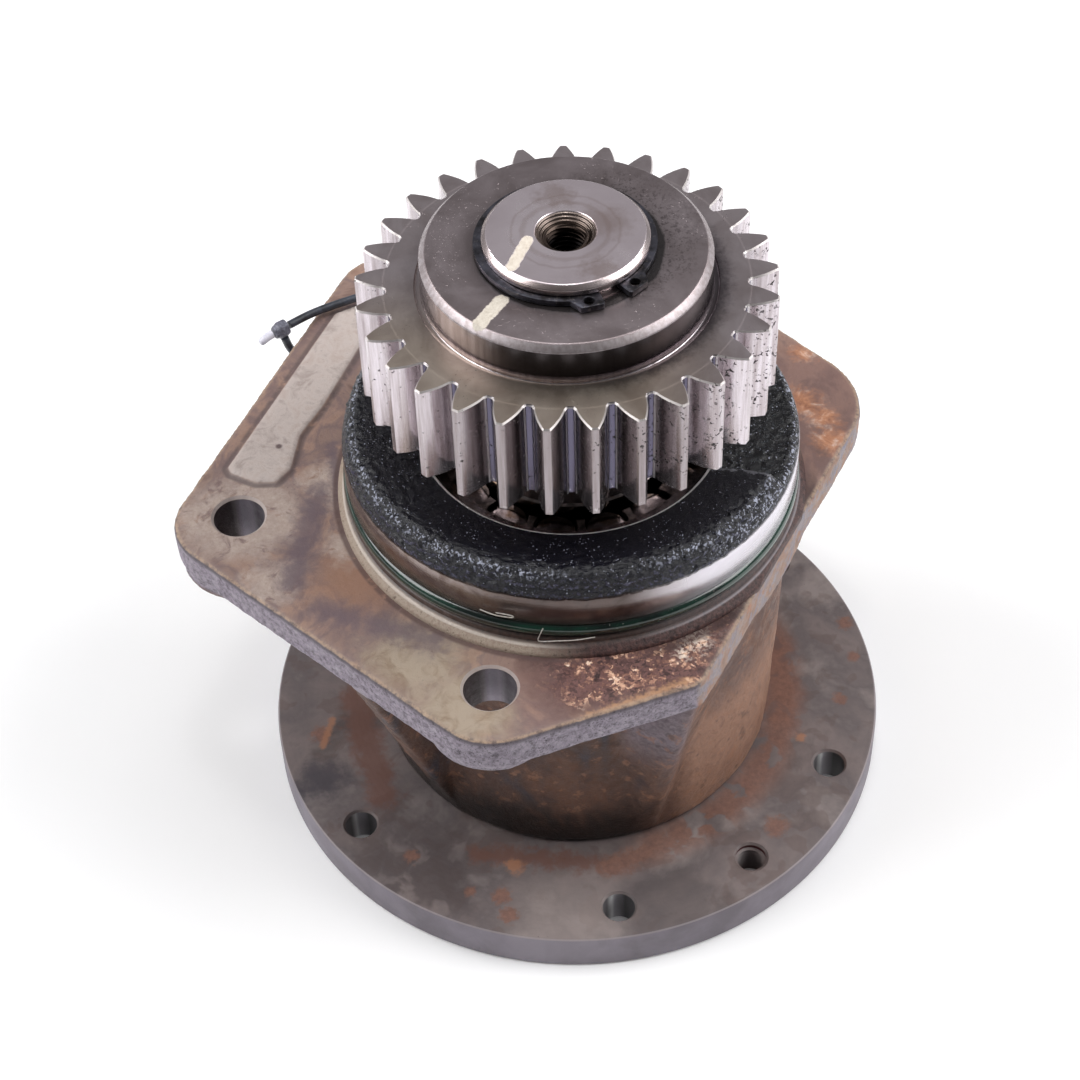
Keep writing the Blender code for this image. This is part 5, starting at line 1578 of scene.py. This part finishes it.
def build_tie(cord_material, lock_material, tip_material):
    hole_x, hole_y, boss_level = BOLT_HOLES[2]
    over = PLATE_TOP + CORD_RADIUS + 1.0
    under = boss_level - CORD_RADIUS - 1.0
    path = smooth_path([
        (-80.3, 64.4, over + 0.2),
        (-72.5, 70.0, over),
        (-60.0, 74.8, over + 0.8),
        (hole_x - 3.0, hole_y - 2.0, over + 0.6),
        (hole_x, hole_y, PLATE_TOP - 3.0),
        (hole_x, hole_y, boss_level + 2.0),
        (hole_x - 5.0, hole_y - 2.5, under),
        (-66.0, 69.5, under),
        (-75.0, 66.5, under + 1.0),
        (-80.2, 64.6, under + 6.0),
        (-82.0, 62.9, over - 3.2),
    ], 14)
    cord = make_object("tie_cord_fine", sweep(path, CORD_RADIUS, 20), 50.0)
    place(cord, "housing", "black_plastic", cord_material, "tie_cord")
    direction = Vector((-0.82, -0.57, 0.0)).normalized()
    turn = Vector((0.0, 0.0, 1.0)).rotation_difference(direction).to_matrix()
    head = stack([(circle(2.1, 6), 0.0), (circle(2.7, 6), 0.5), (circle(2.7, 6), 3.2),
                  (circle(2.2, 6), 3.7), (circle(2.2, 6), 4.3), (circle(1.7, 6), 4.7)])
    bmesh.ops.rotate(head, matrix=turn, verts=head.verts)
    bmesh.ops.translate(head, vec=Vector((-80.9, 64.0, over)), verts=head.verts)
    lock = make_object("tie_lock_fine", head)
    bevel = lock.modifiers.new("ease", "BEVEL")
    bevel.width = 0.25 * MM
    bevel.segments = 3
    bake_modifiers(lock, 40.0)
    place(lock, "housing", "black_plastic", lock_material, "tie_lock")
    tail_path = smooth_path(
        [(-85.2, 61.0, over), (-87.2, 59.4, over - 0.3), (-88.6, 58.0, over - 0.8)], 6)
    count = len(tail_path)
    widths = [1.3 * (1.0 - 0.45 * (i / (count - 1)) ** 6) for i in range(count)]
    tail = make_object("tie_tail_fine", sweep(tail_path, widths, 20), 50.0)
    place(tail, "housing", "white_plastic", tip_material, "tie_tail")


def build_swarf(material):
    """A few stray wire strands stuck to the oily spigot."""
    wall = SPIGOT_RADIUS + 0.35
    strands = (
        ("long_strand", [(-98.6, 0.4, 113.6), (-99.0, 0.9, 112.6), (-99.8, 1.1, 109.6),
                         (-98.6, 1.2, 109.3), (-95.0, 1.5, 110.2), (-91.0, 1.3, 110.3),
                         (-86.5, 1.5, 111.3)]),
        ("short_strand", [(-114.0, 0.3, 116.4), (-110.0, 0.5, 116.0), (-106.0, 0.4, 116.3),
                          (-106.2, 0.3, 116.9), (-110.0, 0.3, 116.8)]),
    )
    for name, knots in strands:
        path = smooth_path([(*polar(wall + off, angle), z) for angle, off, z in knots], 8)
        place(make_object(name, sweep(path, STRAND_RADIUS, 8), 60.0), "housing", "bearing_steel",
              material)


# ---------------------------------------------------------------- studio


def area_light(name, place_m, target_m, size, power, colour=(1.0, 1.0, 1.0)):
    data = bpy.data.lights.new(name, "AREA")
    data.shape = "RECTANGLE"
    data.size, data.size_y = size
    data.energy = power
    data.color = colour
    light = bpy.data.objects.new(name, data)
    bpy.context.scene.collection.objects.link(light)
    light.location = place_m
    direction = Vector(target_m) - Vector(place_m)
    light.rotation_mode = "QUATERNION"
    light.rotation_quaternion = direction.to_track_quat("-Z", "Y")
    return light


def build_surround():
    """Even surround that is dimmer behind the camera."""
    world = bpy.data.worlds.new("studio")
    world.use_nodes = True
    nodes = world.node_tree.nodes
    links = world.node_tree.links
    where = nodes.new("ShaderNodeTexCoord")
    split = nodes.new("ShaderNodeSeparateXYZ")
    links.new(where.outputs["Generated"], split.inputs[0])
    depth = nodes.new("ShaderNodeMapRange")
    depth.interpolation_type = "SMOOTHSTEP"
    depth.inputs["From Min"].default_value = -0.8
    depth.inputs["From Max"].default_value = -0.1
    depth.inputs["To Min"].default_value = 0.08
    depth.inputs["To Max"].default_value = 0.28
    links.new(split.outputs[1], depth.inputs["Value"])
    background = nodes["Background"]
    background.inputs["Color"].default_value = (0.97, 0.96, 1.0, 1.0)
    links.new(depth.outputs["Result"], background.inputs["Strength"])
    bpy.context.scene.world = world


def build_studio():
    """Pale floor, dim surround, large soft boxes and small lamps for glints in the oil."""
    look = Look("pale_floor")
    floor_noise = look.noise(400.0, 2.0, 0.5)
    shade = look.ramp(floor_noise, (0.3, 0.95, 0.95, 0.95, 1.0), (0.7, 0.97, 0.97, 0.97, 1.0))
    look.finish(shade, 0.6, 0.0)
    look.shader.inputs["Emission Color"].default_value = (1.0, 1.0, 1.0, 1.0)
    look.shader.inputs["Emission Strength"].default_value = 0.06
    bm = bmesh.new()
    half = 6.0 / MM
    bm.faces.new([bm.verts.new((x, y, 0.0)) for x, y in
                  ((-half, -half), (half, -half), (half, half), (-half, half))])
    floor = make_object("floor", bm)
    floor.location.z = -0.0002
    floor.data.materials.append(look.material)
    build_surround()
    middle = (0.0, 0.0, 0.1)
    area_light("left_box", (-1.5, 0.0, 1.4), middle, (1.3, 1.3), 26.0)
    area_light("right_box", (1.5, 0.0, 1.4), middle, (1.3, 1.3), 27.0)
    area_light("top_box", (0.0, 0.2, 2.6), middle, (1.8, 1.4), 12.0)
    area_light("top_glint", (0.0, -0.1, 1.1), middle, (0.1, 0.1), 0.7)
    area_light("left_glint", (-0.76, 0.37, 0.65), middle, (0.1, 0.1), 0.8)
    area_light("right_glint", (0.76, 0.37, 0.65), middle, (0.1, 0.1), 0.8)
    bpy.context.scene.view_settings.view_transform = "Standard"
    bpy.context.scene.view_settings.look = "None"


def build_camera():
    """Camera above the front, rolled slightly, as long as the subject is small."""
    pitch = math.radians(47.557)
    roll = math.radians(-2.151)
    forward = Vector((0.0, math.cos(pitch), -math.sin(pitch)))
    level_right = Vector((1.0, 0.0, 0.0))
    level_up = Vector((0.0, math.sin(pitch), math.cos(pitch)))
    right = level_right * math.cos(roll) + level_up * math.sin(roll)
    up = level_up * math.cos(roll) - level_right * math.sin(roll)
    data = bpy.data.cameras.new("camera")
    data.sensor_width = 36.0
    data.lens = 82.44
    data.clip_start = 0.01
    camera = bpy.data.objects.new("camera", data)
    bpy.context.scene.collection.objects.link(camera)
    turn = Matrix((right, up, -forward)).transposed().to_4x4()
    camera.matrix_world = Matrix.Translation((-0.009287, -0.473014, 0.596771)) @ turn
    bpy.context.scene.camera = camera


# ---------------------------------------------------------------- assembly


def dress_cad_nodes(materials):
    """Materials for the CAD nodes that stay as they are."""
    for names, key in (
        (("upper_outer_ring", "upper_inner_ring", "lower_outer_ring", "lower_inner_ring",
          "seal_garter_spring"), "bearing"),
        (("upper_cage", "lower_cage"), "cage"),
        (("upper_bearing_circlip", "lower_bearing_circlip"), "spring"),
        (("bearing_spacer",), "disc"),
        (("shaft_seal",), "rubber"),
        (tuple(f"ball_{i:02d}" for i in range(1, BALLS + 1)), "bearing"),
    ):
        for name in names:
            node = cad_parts[name]
            node.data.materials.clear()
            node.data.materials.append(materials[key])


def main():
    materials = {
        "casting": casting_look(),
        "spigot": spigot_look(),
        "disc": disc_look(),
        "gear": gear_look(),
        "spring": dark_spring_look(),
        "o_ring": o_ring_look(),
        **plain_looks(),
    }
    dress_cad_nodes(materials)
    build_casting(materials["casting"])
    build_spigot(materials["spigot"])
    build_o_ring(materials["o_ring"])
    build_shaft(materials["disc"])
    build_gear(materials["gear"])
    build_circlip(materials["spring"])
    build_rollers(materials["bearing"])
    build_tie(materials["cord"], materials["lock"], materials["tip"])
    build_swarf(materials["swarf"])
    build_studio()
    build_camera()


main()
